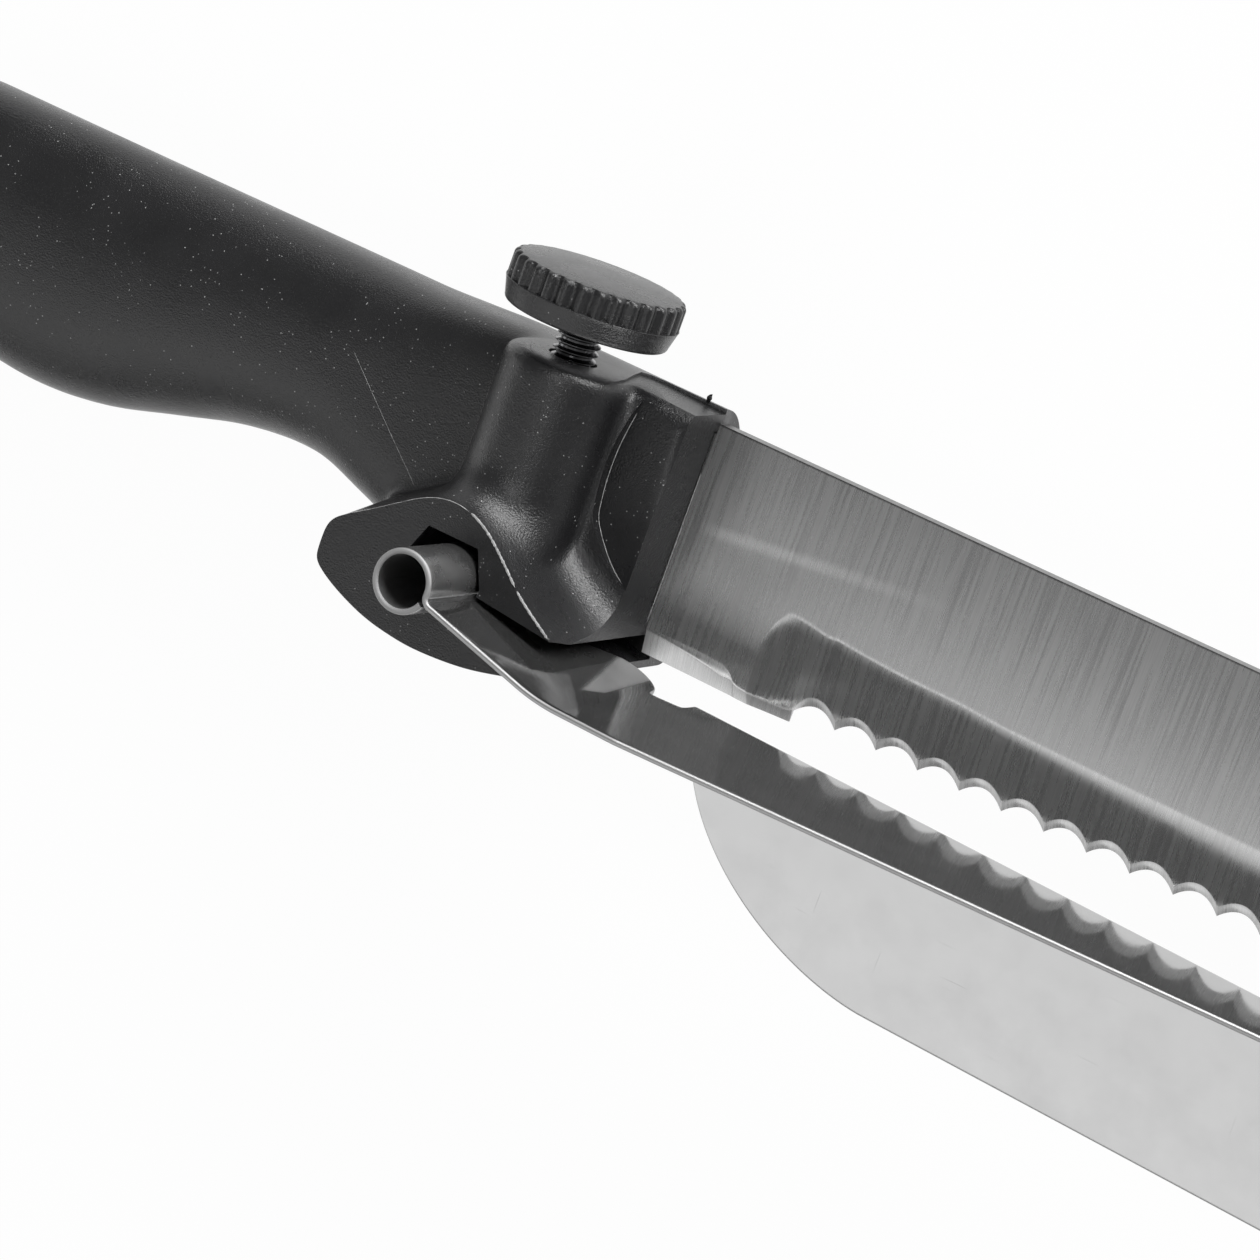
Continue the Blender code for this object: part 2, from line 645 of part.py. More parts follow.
def guide_surface():
    """Open middle surface of the guide, drawn from the loop's centre."""
    bm = bmesh.new()
    rows = []
    bend_z = FENCE_FACE + SHEET / 2.0
    bend_steps = 3
    for point in strip_profile():
        x = point.x
        has_fence = x >= FENCE_START - MERGE_DISTANCE
        far = bend_z + FENCE_BEND_RADIUS if has_fence else far_edge(x)
        row = [(x, point.y, near_edge(x)), (x, point.y + shelf_rise(x, far), far)]
        y = row[-1][1]
        if has_fence:
            for i in range(1, bend_steps + 1):
                angle = math.pi / 2.0 * i / bend_steps
                row.append((x, y - FENCE_BEND_RADIUS * (1.0 - math.cos(angle)),
                            bend_z + FENCE_BEND_RADIUS * (1.0 - math.sin(angle))))
            row.append((x, y - fence_depth(x) + SHEET / 2.0, bend_z))
        origin = Vector((-SCREW_TO_FRONT, -LOOP_BELOW_SPINE, 0.0))
        rows.append([bm.verts.new(Vector(corner) - origin) for corner in row])
    for first, second in zip(rows, rows[1:]):
        for i in range(min(len(first), len(second)) - 1):
            bm.faces.new((first[i], first[i + 1], second[i + 1], second[i]))
    return mesh_from(bm, "slice_guide")


def build_guide(parts, datum):
    """Slice guide of one sheet: rolled loop, arm, shelf and the fence that gauges the slice."""
    guide = place("slice_guide", guide_surface(), parts, datum, (-SCREW_TO_FRONT, -LOOP_BELOW_SPINE, 0.0))
    dress(guide, make_material("guide_polished_steel", (0.62, 0.62, 0.63), 0.12, 1.0))
    solidify = guide.modifiers.new("sheet", "SOLIDIFY")
    solidify.thickness = SHEET
    solidify.offset = 0.0
    solidify.use_even_offset = True


def stud_tip_height():
    """Height of the stud's tip, just off the top of the guide's loop."""
    return -LOOP_BELOW_SPINE + LOOP_DIAMETER / 2.0 + FIT_GAP


def knob_foot_height():
    return BLOCK_CREST + KNOB_STANDOFF


def build_screw(parts, cutters, datum):
    """Clamping screw: a threaded stud, drawn at its major diameter, with a moulded knurled knob."""
    axis_place = (-SCREW_TO_FRONT, 0.0, SCREW_DEPTH)
    radius = STUD_DIAMETER / 2.0
    tip = stud_tip_height()
    foot = knob_foot_height()
    stud_top = foot + STUD_SOCKET_DEPTH - FIT_GAP
    stud = turned("clamp_stud", [(0.0, stud_top), (radius, stud_top), (radius, tip + STUD_TIP_CHAMFER),
                                 (radius - STUD_TIP_CHAMFER, tip), (0.0, tip)], 32)
    dress(place("clamp_stud", stud, parts, datum, axis_place),
          make_material("stud_zinc_plated_steel", (0.42, 0.42, 0.43), 0.30, 1.0))
    rim = KNOB_DIAMETER / 2.0
    top = foot + KNOB_HEIGHT
    rounding = KNURL_DEPTH
    dome_steps = 4
    dome = [((rim - rounding) * i / dome_steps, top + KNOB_DOME * (1.0 - (i / dome_steps) ** 2))
            for i in range(dome_steps)]
    profile = dome + [(rim - rounding, top), (rim, top - rounding), (rim, top - KNURL_HEIGHT),
                      (KNOB_FOOT_DIAMETER / 2.0, foot + rounding),
                      (KNOB_FOOT_DIAMETER / 2.0 - rounding, foot), (0.0, foot)]
    knob = place("clamp_knob", turned("clamp_knob", profile, KNURL_COUNT * 2), parts, datum, axis_place)
    grooves = bmesh.new()
    groove_radius = math.pi * KNOB_DIAMETER / KNURL_COUNT / 4.0
    for i in range(KNURL_COUNT):
        angle = 2.0 * math.pi * i / KNURL_COUNT
        reach = rim + groove_radius - KNURL_DEPTH
        centre = Vector((reach * math.cos(angle), top - KNURL_HEIGHT / 2.0, reach * math.sin(angle)))
        made = bmesh.ops.create_cone(grooves, cap_ends=True, segments=8, radius1=groove_radius,
                                     radius2=groove_radius, depth=KNURL_HEIGHT)
        turn = Matrix.Rotation(-angle, 4, "Y") @ Matrix.Rotation(math.radians(90.0), 4, "X")
        bmesh.ops.transform(grooves, verts=made["verts"], matrix=Matrix.Translation(centre) @ turn)
    socket = cylinder_along_y("stud_socket", radius + FIT_GAP, foot - CUT_MARGIN, foot + STUD_SOCKET_DEPTH)
    for name, mesh in (("knurl_grooves", mesh_from(grooves, "knurl_grooves")), ("stud_socket", socket)):
        boolean(knob, as_cutter(place(name, mesh, cutters, datum, axis_place)), "DIFFERENCE")
    dress(knob, make_material("knob_black_plastic", (0.034, 0.034, 0.035), 0.5, 0.0))


def build_insert(parts, datum):
    """Threaded brass bush that is moulded into the boss and takes the clamping screw."""
    top = BLOCK_CREST - INSERT_COVER
    bottom = top - INSERT_LENGTH
    outer = INSERT_DIAMETER / 2.0
    inner = STUD_DIAMETER / 2.0 + THREAD_GAP
    bush = turned("thread_insert", [(inner, top), (outer, top), (outer, bottom), (inner, bottom), (inner, top)], 32)
    dress(place("thread_insert", bush, parts, datum, (-SCREW_TO_FRONT, 0.0, SCREW_DEPTH)),
          make_material("insert_brass", (0.60, 0.44, 0.18), 0.35, 1.0))


def build_knife():
    clear_scene()
    parts = make_collection("slicing_knife")
    cutters = make_collection("slicing_knife_cutters")
    datum = bpy.data.objects.new("knife_datum", None)
    parts.objects.link(datum)
    datum.location = (SCREW_TO_FRONT, BLADE_HEIGHT / 2.0, BACK_DEPTH)
    build_handle(parts, cutters, datum)
    build_blade(parts, cutters, datum)
    build_guide(parts, datum)
    build_screw(parts, cutters, datum)
    build_insert(parts, datum)


build_knife()
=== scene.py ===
import math

import bmesh
import bpy
from mathutils import Matrix, Vector
from mathutils.bvhtree import BVHTree


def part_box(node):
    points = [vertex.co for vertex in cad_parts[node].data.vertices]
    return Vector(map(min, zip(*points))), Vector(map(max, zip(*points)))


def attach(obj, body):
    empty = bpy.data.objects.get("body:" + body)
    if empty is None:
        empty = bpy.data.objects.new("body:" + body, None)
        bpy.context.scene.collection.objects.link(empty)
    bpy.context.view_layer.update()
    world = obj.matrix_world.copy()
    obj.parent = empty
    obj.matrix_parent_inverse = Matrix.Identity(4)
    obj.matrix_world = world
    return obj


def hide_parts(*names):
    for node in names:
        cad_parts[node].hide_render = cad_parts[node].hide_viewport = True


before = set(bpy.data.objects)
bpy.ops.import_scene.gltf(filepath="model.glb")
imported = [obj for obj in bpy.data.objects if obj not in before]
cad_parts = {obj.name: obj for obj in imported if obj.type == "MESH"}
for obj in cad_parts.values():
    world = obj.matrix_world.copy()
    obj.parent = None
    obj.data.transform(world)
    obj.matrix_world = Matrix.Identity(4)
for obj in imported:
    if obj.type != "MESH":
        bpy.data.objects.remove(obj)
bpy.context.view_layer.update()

# Blade: a strip of 2 mm stainless steel, blanked with its tang in one piece. It is ground and serrated
# from the near side only, and satin finished with strokes that run across it from spine to edge.
BLADE_LENGTH = 200.0
BLADE_HALF = 1.0
EDGE_THICKNESS = 0.03
TIP_START = 160.0
TIP_DROP = 24.5
TANG_END = -108.0
TANG_CORNER = -104.0
TANG_TOP = -4.0
TANG_EDGE = -19.5
ROOT_END = -10.0
ROOT_TOP = -1.5
ROOT_EDGE = -25.5
HEEL_START = 0.3
HEEL_EDGE = -32.2
TOOTH_LINE = -30.6
TOOTH_START = 22.9
TOOTH_PITCH = 6.24
TOOTH_DEPTH = 1.7
TEETH = 27
RIBBON = 1.3
APEX = 18.7
GRIND_HEIGHT = 9.2
GRIND_DROP = 1.085
RIDGE = [(APEX, -18.5), (21.4, -18.75), (24.8, -19.2), (25.9, -19.05), (29.3, -19.3), (36.0, -19.65),
         (45.0, -19.75), (52.0, -20.1), (88.0, -20.15), (200.0, -20.1)]
PLUNGE = [(-32.2, 17.0), (-29.0, 16.2), (-26.4, 15.9), (-24.4, 16.1), (-23.1, 16.4), (-21.05, 17.1),
          (-19.25, 18.0), (-18.5, APEX)]
PLUNGE_RUN = 2.4
PLUNGE_SPREAD = 0.55
RIDGE_ROUNDING = [(20.0, 0.2), (50.0, 0.35), (70.0, 1.1), (90.0, 2.0), (200.0, 2.0)]
HEEL_LAND = 0.18
HEEL_STEP = 0.12
HEEL_UPPER = [(0.3, -28.5), (11.0, -28.55), (15.0, -29.2), (17.2, -30.35), (22.0, -30.45),
              (22.9, -30.05)]
HEEL_LOWER = [(0.3, -28.8), (6.0, -29.2), (10.0, -29.6), (12.5, -29.95), (16.0, -29.95), (17.2, -30.45),
              (22.0, -30.55), (22.9, -30.2)]
# Painted highlight: a pale streak on the blade's face, at this height by the handle and at this slope
STREAK_HEIGHT = -13.75
STREAK_SLOPE = 0.1147

# Every size is in millimetres from the point where the spine leaves the handle, in the middle of the
# blade's thickness: X runs to the tip, Y across to the spine, and Z to the side of the slice guide
blade_low, blade_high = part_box("blade")
DATUM = Vector((blade_high.x - BLADE_LENGTH / 1000.0, blade_high.y, (blade_low.z + blade_high.z) / 2.0))


def keyed(keys, x):
    """Height at x on a smooth line through keys, which run along x."""
    if x <= keys[0][0]:
        return keys[0][1]
    for i, ((x0, y0), (x1, y1)) in enumerate(zip(keys, keys[1:])):
        if x <= x1:
            before = keys[max(i - 1, 0)]
            after = keys[min(i + 2, len(keys) - 1)]
            width = x1 - x0
            t = (x - x0) / width
            slope0 = (y1 - before[1]) / (x1 - before[0]) * width
            slope1 = (after[1] - y0) / (after[0] - x0) * width
            return ((2 * t - 3) * t * t + 1) * y0 + ((t - 2) * t + 1) * t * slope0 \
                + (3 - 2 * t) * t * t * y1 + (t - 1) * t * t * slope1
    return keys[-1][1]


def ramp(x, start, end):
    """Share from 0 at start to 1 at end."""
    return min(max((x - start) / (end - start), 0.0), 1.0)


def blade_top(x):
    """Height of the back at x: of the tang, of the root in the handle, then of the spine to the tip."""
    if x < ROOT_END:
        return TANG_TOP - max(0.0, TANG_CORNER - x)
    if x < HEEL_START:
        return ROOT_TOP
    t = ramp(x, TIP_START, BLADE_LENGTH)
    return -TIP_DROP * (1.0 - math.sqrt(1.0 - t * t))


def blade_edge(x):
    """Height of the lower edge at x: of the tang and root, then straight at the heel, then scalloped."""
    if x < ROOT_END:
        return TANG_EDGE + max(0.0, TANG_CORNER - x)
    if x < HEEL_START:
        return ROOT_EDGE
    if x < TOOTH_START:
        return HEEL_EDGE
    tooth = (x - TOOTH_START) / TOOTH_PITCH
    if tooth >= TEETH:
        return TOOTH_LINE
    u = 2.0 * (tooth - math.floor(tooth)) - 1.0
    return TOOTH_LINE + TOOTH_DEPTH * (1.0 - u * u)


def blade_rows(x):
    """Heights of the rows of points down the near face at x, which follow its ridge and its bevels."""
    top, edge = blade_top(x), blade_edge(x)
    if x < HEEL_START:
        return [top + (edge - top) * i / 20.0 for i in range(21)]
    ridge = min(keyed(RIDGE, x), top - 0.9)
    ribbon = RIBBON * (0.3 + 0.7 * ramp(x, TOOTH_START, TOOTH_START + 1.5))
    upper, lower = edge + ribbon + 0.15, edge + ribbon
    if x < TOOTH_START:
        upper, lower = keyed(HEEL_UPPER, x), keyed(HEEL_LOWER, x)
    rows = [top, top - 0.12, top - 0.3]
    rows += [top - 0.3 + (ridge + 0.65 - top) * i / 4.0 for i in range(1, 5)]
    rows += [ridge + 0.1, ridge - 0.1, ridge - 0.35]
    rows += [ridge - 0.35 + (upper - ridge + 0.35) * i / 7.0 for i in range(1, 8)]
    if x < TOOTH_START:
        return rows + [lower, lower - HEEL_LAND, lower - HEEL_LAND - HEEL_STEP, edge]
    return rows + [lower, lower - ribbon / 3.0, lower - ribbon / 1.5, edge]


def blade_face(x, y):
    """Height of the ground near face over the blade's middle plane."""
    z = BLADE_HALF
    below = keyed(RIDGE, x) - y
    inside = x - keyed(PLUNGE, y)
    if below > 0.0 and inside > 0.0:
        reach = ramp(inside, 0.0, PLUNGE_RUN + PLUNGE_SPREAD * below)
        rounding = keyed(RIDGE_ROUNDING, x)
        fallen = below - rounding * (1.0 - math.exp(-below / rounding))
        z -= GRIND_DROP / (GRIND_HEIGHT - rounding) * fallen * (1.0 - (1.0 - reach) ** 2)
    return z


columns = [TANG_END, TANG_CORNER, -57.0, ROOT_END - 0.02, ROOT_END + 0.02, -5.0, HEEL_START - 0.02,
           HEEL_START + 0.02]
columns += [1.0 + i * 0.75 for i in range(20)]
columns += [15.6, 16.1, 16.6, 17.1, 17.6, 18.1, 18.5, APEX, 18.85, 19.05, 19.3, 19.7, 20.2, 20.8, 21.4,
            22.0, 22.5]
columns += [TOOTH_START - 0.02]
columns += [TOOTH_START + 0.02 + (TOOTH_PITCH * TEETH - 0.02) * i / (24 * TEETH)
            for i in range(24 * TEETH + 1)]
columns += [192.2, 193.5, 195.0, 196.5, 197.6, 198.4, 199.0, 199.4, 199.7, 199.88, 199.97, BLADE_LENGTH]
last_row = len(blade_rows(50.0)) - 1
blade = bmesh.new()

# Painted shading of each point: 0 by the belt, 1 ground flat painted dark, 2 bevels painted bright
painted_grind_shading = blade.verts.layers.float.new("painted_grind_shading")
painted_spine_shade = blade.verts.layers.float.new("painted_spine_shade")
bmesh.ops.create_grid(blade, x_segments=len(columns) - 1, y_segments=last_row, size=0.5)
for vert in blade.verts:
    station = columns[round((vert.co.x + 0.5) * (len(columns) - 1))]
    row = round((0.5 - vert.co.y) * last_row)
    y = blade_rows(station)[row]
    near_plunge = ramp(station, 12.0, 16.6) * (1.0 - ramp(station, 19.7, 22.5))
    x = station + (keyed(PLUNGE, y) - APEX) * near_plunge
    x -= 1.6 * ramp(station, 194.0, BLADE_LENGTH) * ramp(y, -TIP_DROP, TOOTH_LINE)
    z = BLADE_HALF
    if station > HEEL_START:
        z = blade_face(x, y)
        vert[painted_grind_shading] = ramp(BLADE_HALF - z, 0.0, 0.12)
        upper, lower, _, _, edge = blade_rows(station)[-5:]
        if station > TOOTH_START:
            z += (EDGE_THICKNESS - BLADE_HALF - z) * ramp(y, lower, edge)
            vert[painted_grind_shading] += ramp(y, lower + 0.05, lower - 0.05)
        else:
            z -= 0.1 * max(0.0, upper - max(y, lower)) + 0.28 * max(0.0, lower - y)
            z -= 0.1 * ramp(y, lower - HEEL_LAND, lower - HEEL_LAND - HEEL_STEP)
            beside = max(vert[painted_grind_shading], ramp(y, upper, upper - 0.3) * 0.5)
            vert[painted_grind_shading] = beside + ramp(y, lower, lower - 0.1)
            # Painted light: beside the handle the face above the heel's bevel is painted brighter,
            # fading by 12 mm
            vert[painted_grind_shading] -= (1.0 - ramp(x, 0.0, 12.0)) * ramp(y, upper - 0.3, upper)
            # Beyond the first 3 mm the heel's bevel is painted as a bright line, a dark one and the edge
            # The bright line is a painted highlight and the dark one a painted shade
            lined = {last_row - 3: 2.4, last_row - 2: 2.4, last_row - 1: 0.9, last_row: 1.6}.get(row)
            if lined:
                vert[painted_grind_shading] += (lined - vert[painted_grind_shading]) * ramp(x, 3.0, 13.0)
        # Painted shade: the top rows of the spine are painted dark
        vert[painted_spine_shade] = 1.0 if row < 2 else 0.0
    vert.co = (x, y, z)
back = bmesh.ops.extrude_face_region(blade, geom=blade.faces[:])["geom"]
for vert in (g for g in back if isinstance(g, bmesh.types.BMVert)):
    vert.co.z = -BLADE_HALF
    vert[painted_grind_shading] = 0.0
bmesh.ops.recalc_face_normals(blade, faces=blade.faces)
strokes = blade.loops.layers.uv.new("strokes")
for face in blade.faces:
    for loop in face.loops:
        loop[strokes].uv = (loop.vert.co.x / 40.0, loop.vert.co.y / 40.0)


def colour(code):
    """Linear colour from an sRGB hex code."""
    levels = [int(code[i:i + 2], 16) / 255.0 for i in (0, 2, 4)]
    return [c / 12.92 if c <= 0.04045 else ((c + 0.055) / 1.055) ** 2.4 for c in levels] + [1.0]


def feed(tree, node, inputs):
    """Set or link a node's inputs. A node given as a value stands for its first output."""
    for name, value in inputs.items():
        if isinstance(value, bpy.types.Node):
            value = value.outputs[0]
        if isinstance(value, bpy.types.NodeSocket):
            tree.links.new(value, node.inputs[name])
        else:
            node.inputs[name].default_value = value
    return node


def add(tree, kind, inputs, **settings):
    """Add a shader node with its settings, and its inputs set or linked."""
    node = tree.nodes.new("ShaderNode" + kind)
    for name, value in settings.items():
        setattr(node, name, value)
    return feed(tree, node, inputs)


def new_material(name):
    """A material with its Principled shader, and the Object coordinates that its patterns use."""
    material = bpy.data.materials.new(name)
    material.use_nodes = True
    tree = material.node_tree
    shader = tree.nodes["Principled BSDF"]
    where = tree.nodes.new("ShaderNodeTexCoord").outputs["Object"]
    return material, tree, shader, where


def satin_stainless():
    """Stainless steel finished on a belt: strokes 0.1 to 0.3 mm wide and a few millimetres long, which
    pull a reflection out along the blade but leave it fairly sharp across. The ground flat is painted
    darker, a painted shade, the bevels of the serrations are painted bright, a painted highlight, and
    the top of the spine is painted dark, a painted shade. A pale streak, a painted highlight, runs
    40 mm out from beside the handle."""
    material, tree, shader, where = new_material("satin_ground_stainless")
    fine = add(tree, "Mapping", {"Vector": where, "Scale": (7000.0, 170.0, 170.0)})
    wide = add(tree, "Mapping", {"Vector": where, "Scale": (2600.0, 60.0, 60.0)})
    fine_strokes = add(tree, "TexNoise", {"Vector": fine, "Scale": 1.0, "Detail": 3.0})
    wide_strokes = add(tree, "TexNoise", {"Vector": wide, "Scale": 1.0, "Detail": 4.0})
    both = add(tree, "Math", {0: fine_strokes, 1: 0.8, 2: wide_strokes}, operation="MULTIPLY_ADD")
    flat = add(tree, "MapRange", {"Value": both, "From Min": 0.6, "From Max": 1.2,
                                  "To Min": 0.44, "To Max": 0.58})
    # Painted shade darkens the ground flat, and painted highlights brighten the bevels
    zone = add(tree, "Attribute", {}, attribute_name="painted_grind_shading").outputs["Fac"]
    hollow = add(tree, "MapRange", {"Value": zone, "To Min": 1.0, "To Max": 0.74}, clamp=False)
    bevel = add(tree, "MapRange", {"Value": zone, "From Min": 1.0, "From Max": 2.0, "To Max": 0.75})
    share = add(tree, "Math", {0: hollow, 1: bevel}, operation="ADD")
    tone = add(tree, "Math", {0: flat, 1: share}, operation="MULTIPLY")
    # Painted highlight: a pale streak along the face, fading out 40 mm from the handle
    streak_start = -DATUM - Vector((0.0, STREAK_HEIGHT / 1000.0, 0.0))
    from_streak = add(tree, "Mapping", {"Vector": where, "Location": streak_start})
    along_streak = add(tree, "Mapping", {"Vector": from_streak, "Rotation": (0.0, 0.0, -STREAK_SLOPE)})
    streak = add(tree, "SeparateXYZ", {0: along_streak})
    off = add(tree, "Math", {0: streak.outputs["Y"]}, operation="ABSOLUTE")
    narrow = add(tree, "MapRange", {"Value": off, "From Min": 0.0001, "From Max": 0.0013,
                                    "To Min": 0.34, "To Max": 0.0}, interpolation_type="SMOOTHSTEP")
    fading = add(tree, "MapRange", {"Value": streak.outputs["X"], "From Min": 0.014, "From Max": 0.044,
                                    "To Min": 1.0, "To Max": 0.0}, interpolation_type="SMOOTHSTEP")
    starting = add(tree, "MapRange", {"Value": streak.outputs["X"], "From Min": 0.002, "From Max": 0.006},
                   interpolation_type="SMOOTHSTEP")
    both_ends = add(tree, "Math", {0: fading, 1: starting}, operation="MULTIPLY")
    painted_sheen = add(tree, "Math", {0: narrow, 1: both_ends}, operation="MULTIPLY")
    lightened = add(tree, "Math", {0: painted_sheen, 1: tone, 2: tone}, operation="MULTIPLY_ADD")
    # Painted shade: the top of the spine is painted dark
    spine = add(tree, "Attribute", {}, attribute_name="painted_spine_shade").outputs["Fac"]
    dark = add(tree, "MapRange", {"Value": spine, "To Min": 1.0, "To Max": 0.3})
    toned = add(tree, "Math", {0: lightened, 1: dark}, operation="MULTIPLY")
    rough = add(tree, "MapRange", {"Value": wide_strokes, "From Min": 0.3, "From Max": 0.7,
                                   "To Min": 0.22, "To Max": 0.33})
    tangent = add(tree, "Tangent", {}, direction_type="UV_MAP", uv_map="strokes")
    bump = add(tree, "Bump", {"Height": both, "Strength": 0.25, "Distance": 0.00002})
    feed(tree, shader, {"Base Color": toned, "Metallic": 1.0, "Roughness": rough, "Anisotropic": 1.0,
                        "Tangent": tangent, "Normal": bump})
    return material


def placed(bm, name, material, body, node=None, sharp=30.0):
    """The finished piece, from millimetres at the datum to its place in the frame."""
    bmesh.ops.scale(bm, verts=bm.verts, vec=(0.001, 0.001, 0.001))
    bmesh.ops.translate(bm, verts=bm.verts, vec=DATUM)
    mesh = bpy.data.meshes.new(name)
    bm.to_mesh(mesh)
    bm.free()
    mesh.materials.append(material)
    mesh.shade_smooth()
    mesh.set_sharp_from_angle(angle=math.radians(sharp))
    piece = bpy.data.objects.new(name, mesh)
    bpy.context.scene.collection.objects.link(piece)
    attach(piece, body)
    if node:
        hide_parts(node)


placed(blade, "blade_ground", satin_stainless(), "handle", "blade", sharp=5.0)

# Thread insert: a turned brass bush with a coarse knurl, set in the mould before the handle is shot
# round it. It takes the clamping screw, and nothing of it shows outside.
material, tree, shader, where = new_material("turned_brass")
rings = add(tree, "Mapping", {"Vector": where, "Scale": (60.0, 4000.0, 60.0)})
tool_marks = add(tree, "TexNoise", {"Vector": rings, "Scale": 1.0, "Detail": 2.0})
brass = add(tree, "Mix", {0: tool_marks, 6: colour("b08d4a"), 7: colour("cdb06e")}, data_type="RGBA")
feed(tree, shader, {"Base Color": brass.outputs[2], "Metallic": 1.0, "Roughness": 0.3})
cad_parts["thread_insert"].material_slots[0].material = material

# Handle: one moulding of black polypropylene round the blade's tang. The grip runs into a square
# block with a round boss for the clamping screw, and a sideways wing that carries the slice guide.
BACK = -9.7
BLOCK_FACE = 10.2
WING_START = -36.6
WING_END = 2.0
WING_BACK = -9.0
WING_FACE = 24.7
SCREW_X = -17.8
SCREW_Z = 11.2
TOP = 1.9
GRIP_TOP = [(-135.0, 1.0), (-46.0, 1.0), (-37.0, 1.45), (-28.0, TOP), (3.0, TOP)]
GRIP_UNDERSIDE = [(-135.0, -31.0), (-117.5, -33.0), (-100.0, -35.0), (-88.0, -33.9), (-76.5, -30.7),
                  (-65.0, -27.5), (-53.0, -26.4), (-43.5, -28.5), (-34.0, -30.6), (3.0, -30.6)]
GRIP_NEAR = [(-135.0, 10.0), (-53.0, 10.0), (-34.0, 10.9), (3.0, 10.9)]
NEAR_SQUARENESS = [(-135.0, 2.5), (-53.0, 2.5), (SCREW_X, 6.0), (3.0, 6.0)]
BACK_SQUARENESS = [(-135.0, 2.5), (-53.0, 2.5), (SCREW_X, 2.1), (3.0, 2.1)]
GRIP_LENGTH = 135.0
BUTT_ROUNDING = 13.0
BOSS_RADIUS = 8.8
BORE_RADIUS = 3.3
SEAT_RADIUS = 4.6
SADDLE_SWEEP = [(-36.6, 0.6), (-29.0, 1.0), (-25.0, 2.6), (-17.8, 3.0), (-9.0, 5.5), (3.0, 6.5)]
WING_RISE = 2.6
WING_RIM = [(-36.6, -29.2), (-36.2, -28.0), (-35.2, -27.0), (-31.8, -24.8), (-27.5, -21.9),
            (-25.0, -20.3), (-22.3, -19.2), (-19.3, -18.95), (-16.5, -19.6), (-14.1, -20.8),
            (-11.4, -22.8), (-6.9, -26.4), (-1.5, -29.6), (0.0, -30.5), (3.0, -32.4)]
WING_BELLY = [(-36.6, -33.0), (-36.2, -33.7), (-33.1, -35.5), (-28.2, -37.3), (-24.3, -38.1),
              (-19.0, -38.5), (-11.7, -37.9), (-6.0, -36.6), (0.0, -34.8), (3.0, -33.8)]


def drawn_out(sides, stations, point_at):
    """A ring drawn out along a row of stations; point_at gives the place of each point of it."""
    bm = bmesh.new()
    share = bm.verts.layers.float.new("share")
    ring = bmesh.ops.create_circle(bm, segments=sides, radius=1.0)["verts"]
    for i, vert in enumerate(ring):
        vert[share] = i / sides
    for number, station in enumerate(stations):
        if number:
            edges = [e for e in bm.edges if e.verts[0] in ring and e.verts[1] in ring]
            made = bmesh.ops.extrude_edge_only(bm, edges=edges)["geom"]
            ring = {g for g in made if isinstance(g, bmesh.types.BMVert)}
        ring = set(ring)
        for vert in ring:
            vert.co = point_at(station, vert[share])
    bmesh.ops.holes_fill(bm, edges=bm.edges)
    bmesh.ops.recalc_face_normals(bm, faces=bm.faces)
    return bm


def prism(outline, low, high):
    """A flat outline in XY, drawn up from low to high."""
    bm = bmesh.new()
    face = bm.faces.new([bm.verts.new((x, y, low)) for x, y in outline])
    top = bmesh.ops.extrude_face_region(bm, geom=[face])["geom"]
    bmesh.ops.translate(bm, verts=[v for v in top if isinstance(v, bmesh.types.BMVert)],
                        vec=(0.0, 0.0, high - low))
    bmesh.ops.recalc_face_normals(bm, faces=bm.faces)
    return bm


def cylinder(radius, low, high):
    """A cylinder round the clamping screw's axis, between two heights."""
    bm = bmesh.new()
    bmesh.ops.create_cone(bm, cap_ends=True, segments=96, radius1=radius, radius2=radius,
                          depth=high - low)
    bmesh.ops.rotate(bm, verts=bm.verts, matrix=Matrix.Rotation(math.radians(-90.0), 3, "X"))
    bmesh.ops.translate(bm, verts=bm.verts, vec=(SCREW_X, (low + high) / 2.0, SCREW_Z))
    return bm


def holder(bm):
    """Scene object that holds a bmesh for a modifier."""
    mesh = bpy.data.meshes.new("blank")
    bm.to_mesh(mesh)
    bm.free()
    made = bpy.data.objects.new("blank", mesh)
    bpy.context.scene.collection.objects.link(made)
    return made


def with_modifiers(made):
    """The bmesh of an object after its modifiers; the object goes."""
    bpy.context.view_layer.update()
    mesh = bpy.data.meshes.new_from_object(made.evaluated_get(bpy.context.evaluated_depsgraph_get()))
    bm = bmesh.new()
    bm.from_mesh(mesh)
    bpy.data.meshes.remove(mesh)
    bpy.data.objects.remove(made)
    return bm


def shaped(bm, joined=(), cut=()):
    """A solid with others joined to it and others cut from it."""
    blank = holder(bm)
    tools = []
    for operation, solids in (("UNION", joined), ("DIFFERENCE", cut)):
        for solid in solids:
            tool = holder(solid)
            boolean = blank.modifiers.new("boolean", "BOOLEAN")
            boolean.operation = operation
            boolean.solver = "MANIFOLD"
            boolean.object = tool
            tools.append(tool)
    result = with_modifiers(blank)
    for tool in tools:
        bpy.data.objects.remove(tool)
    return result


def superellipse(angle, squareness):
    """Point at an angle of a unit circle drawn towards a square: 2 gives the circle itself."""
    power = 2.0 / squareness
    c, s = math.cos(angle), math.sin(angle)
    return (math.copysign(abs(c) ** power, c), math.copysign(abs(s) ** power, s))


def grip_point(station, share):
    """Point of the handle's section at a station (x, scale), rounder at the grip than at the block."""
    x, scale = station
    angle = 2.0 * math.pi * share
    near = math.cos(angle) > 0.0
    across, up = superellipse(angle, keyed(NEAR_SQUARENESS if near else BACK_SQUARENESS, x))
    top, under = keyed(GRIP_TOP, x), keyed(GRIP_UNDERSIDE, x)
    depth = keyed(GRIP_NEAR, x) if near else -BACK + 0.4
    return (x, (top + under) / 2.0 + (top - under) / 2.0 * up * scale, depth * across * scale)


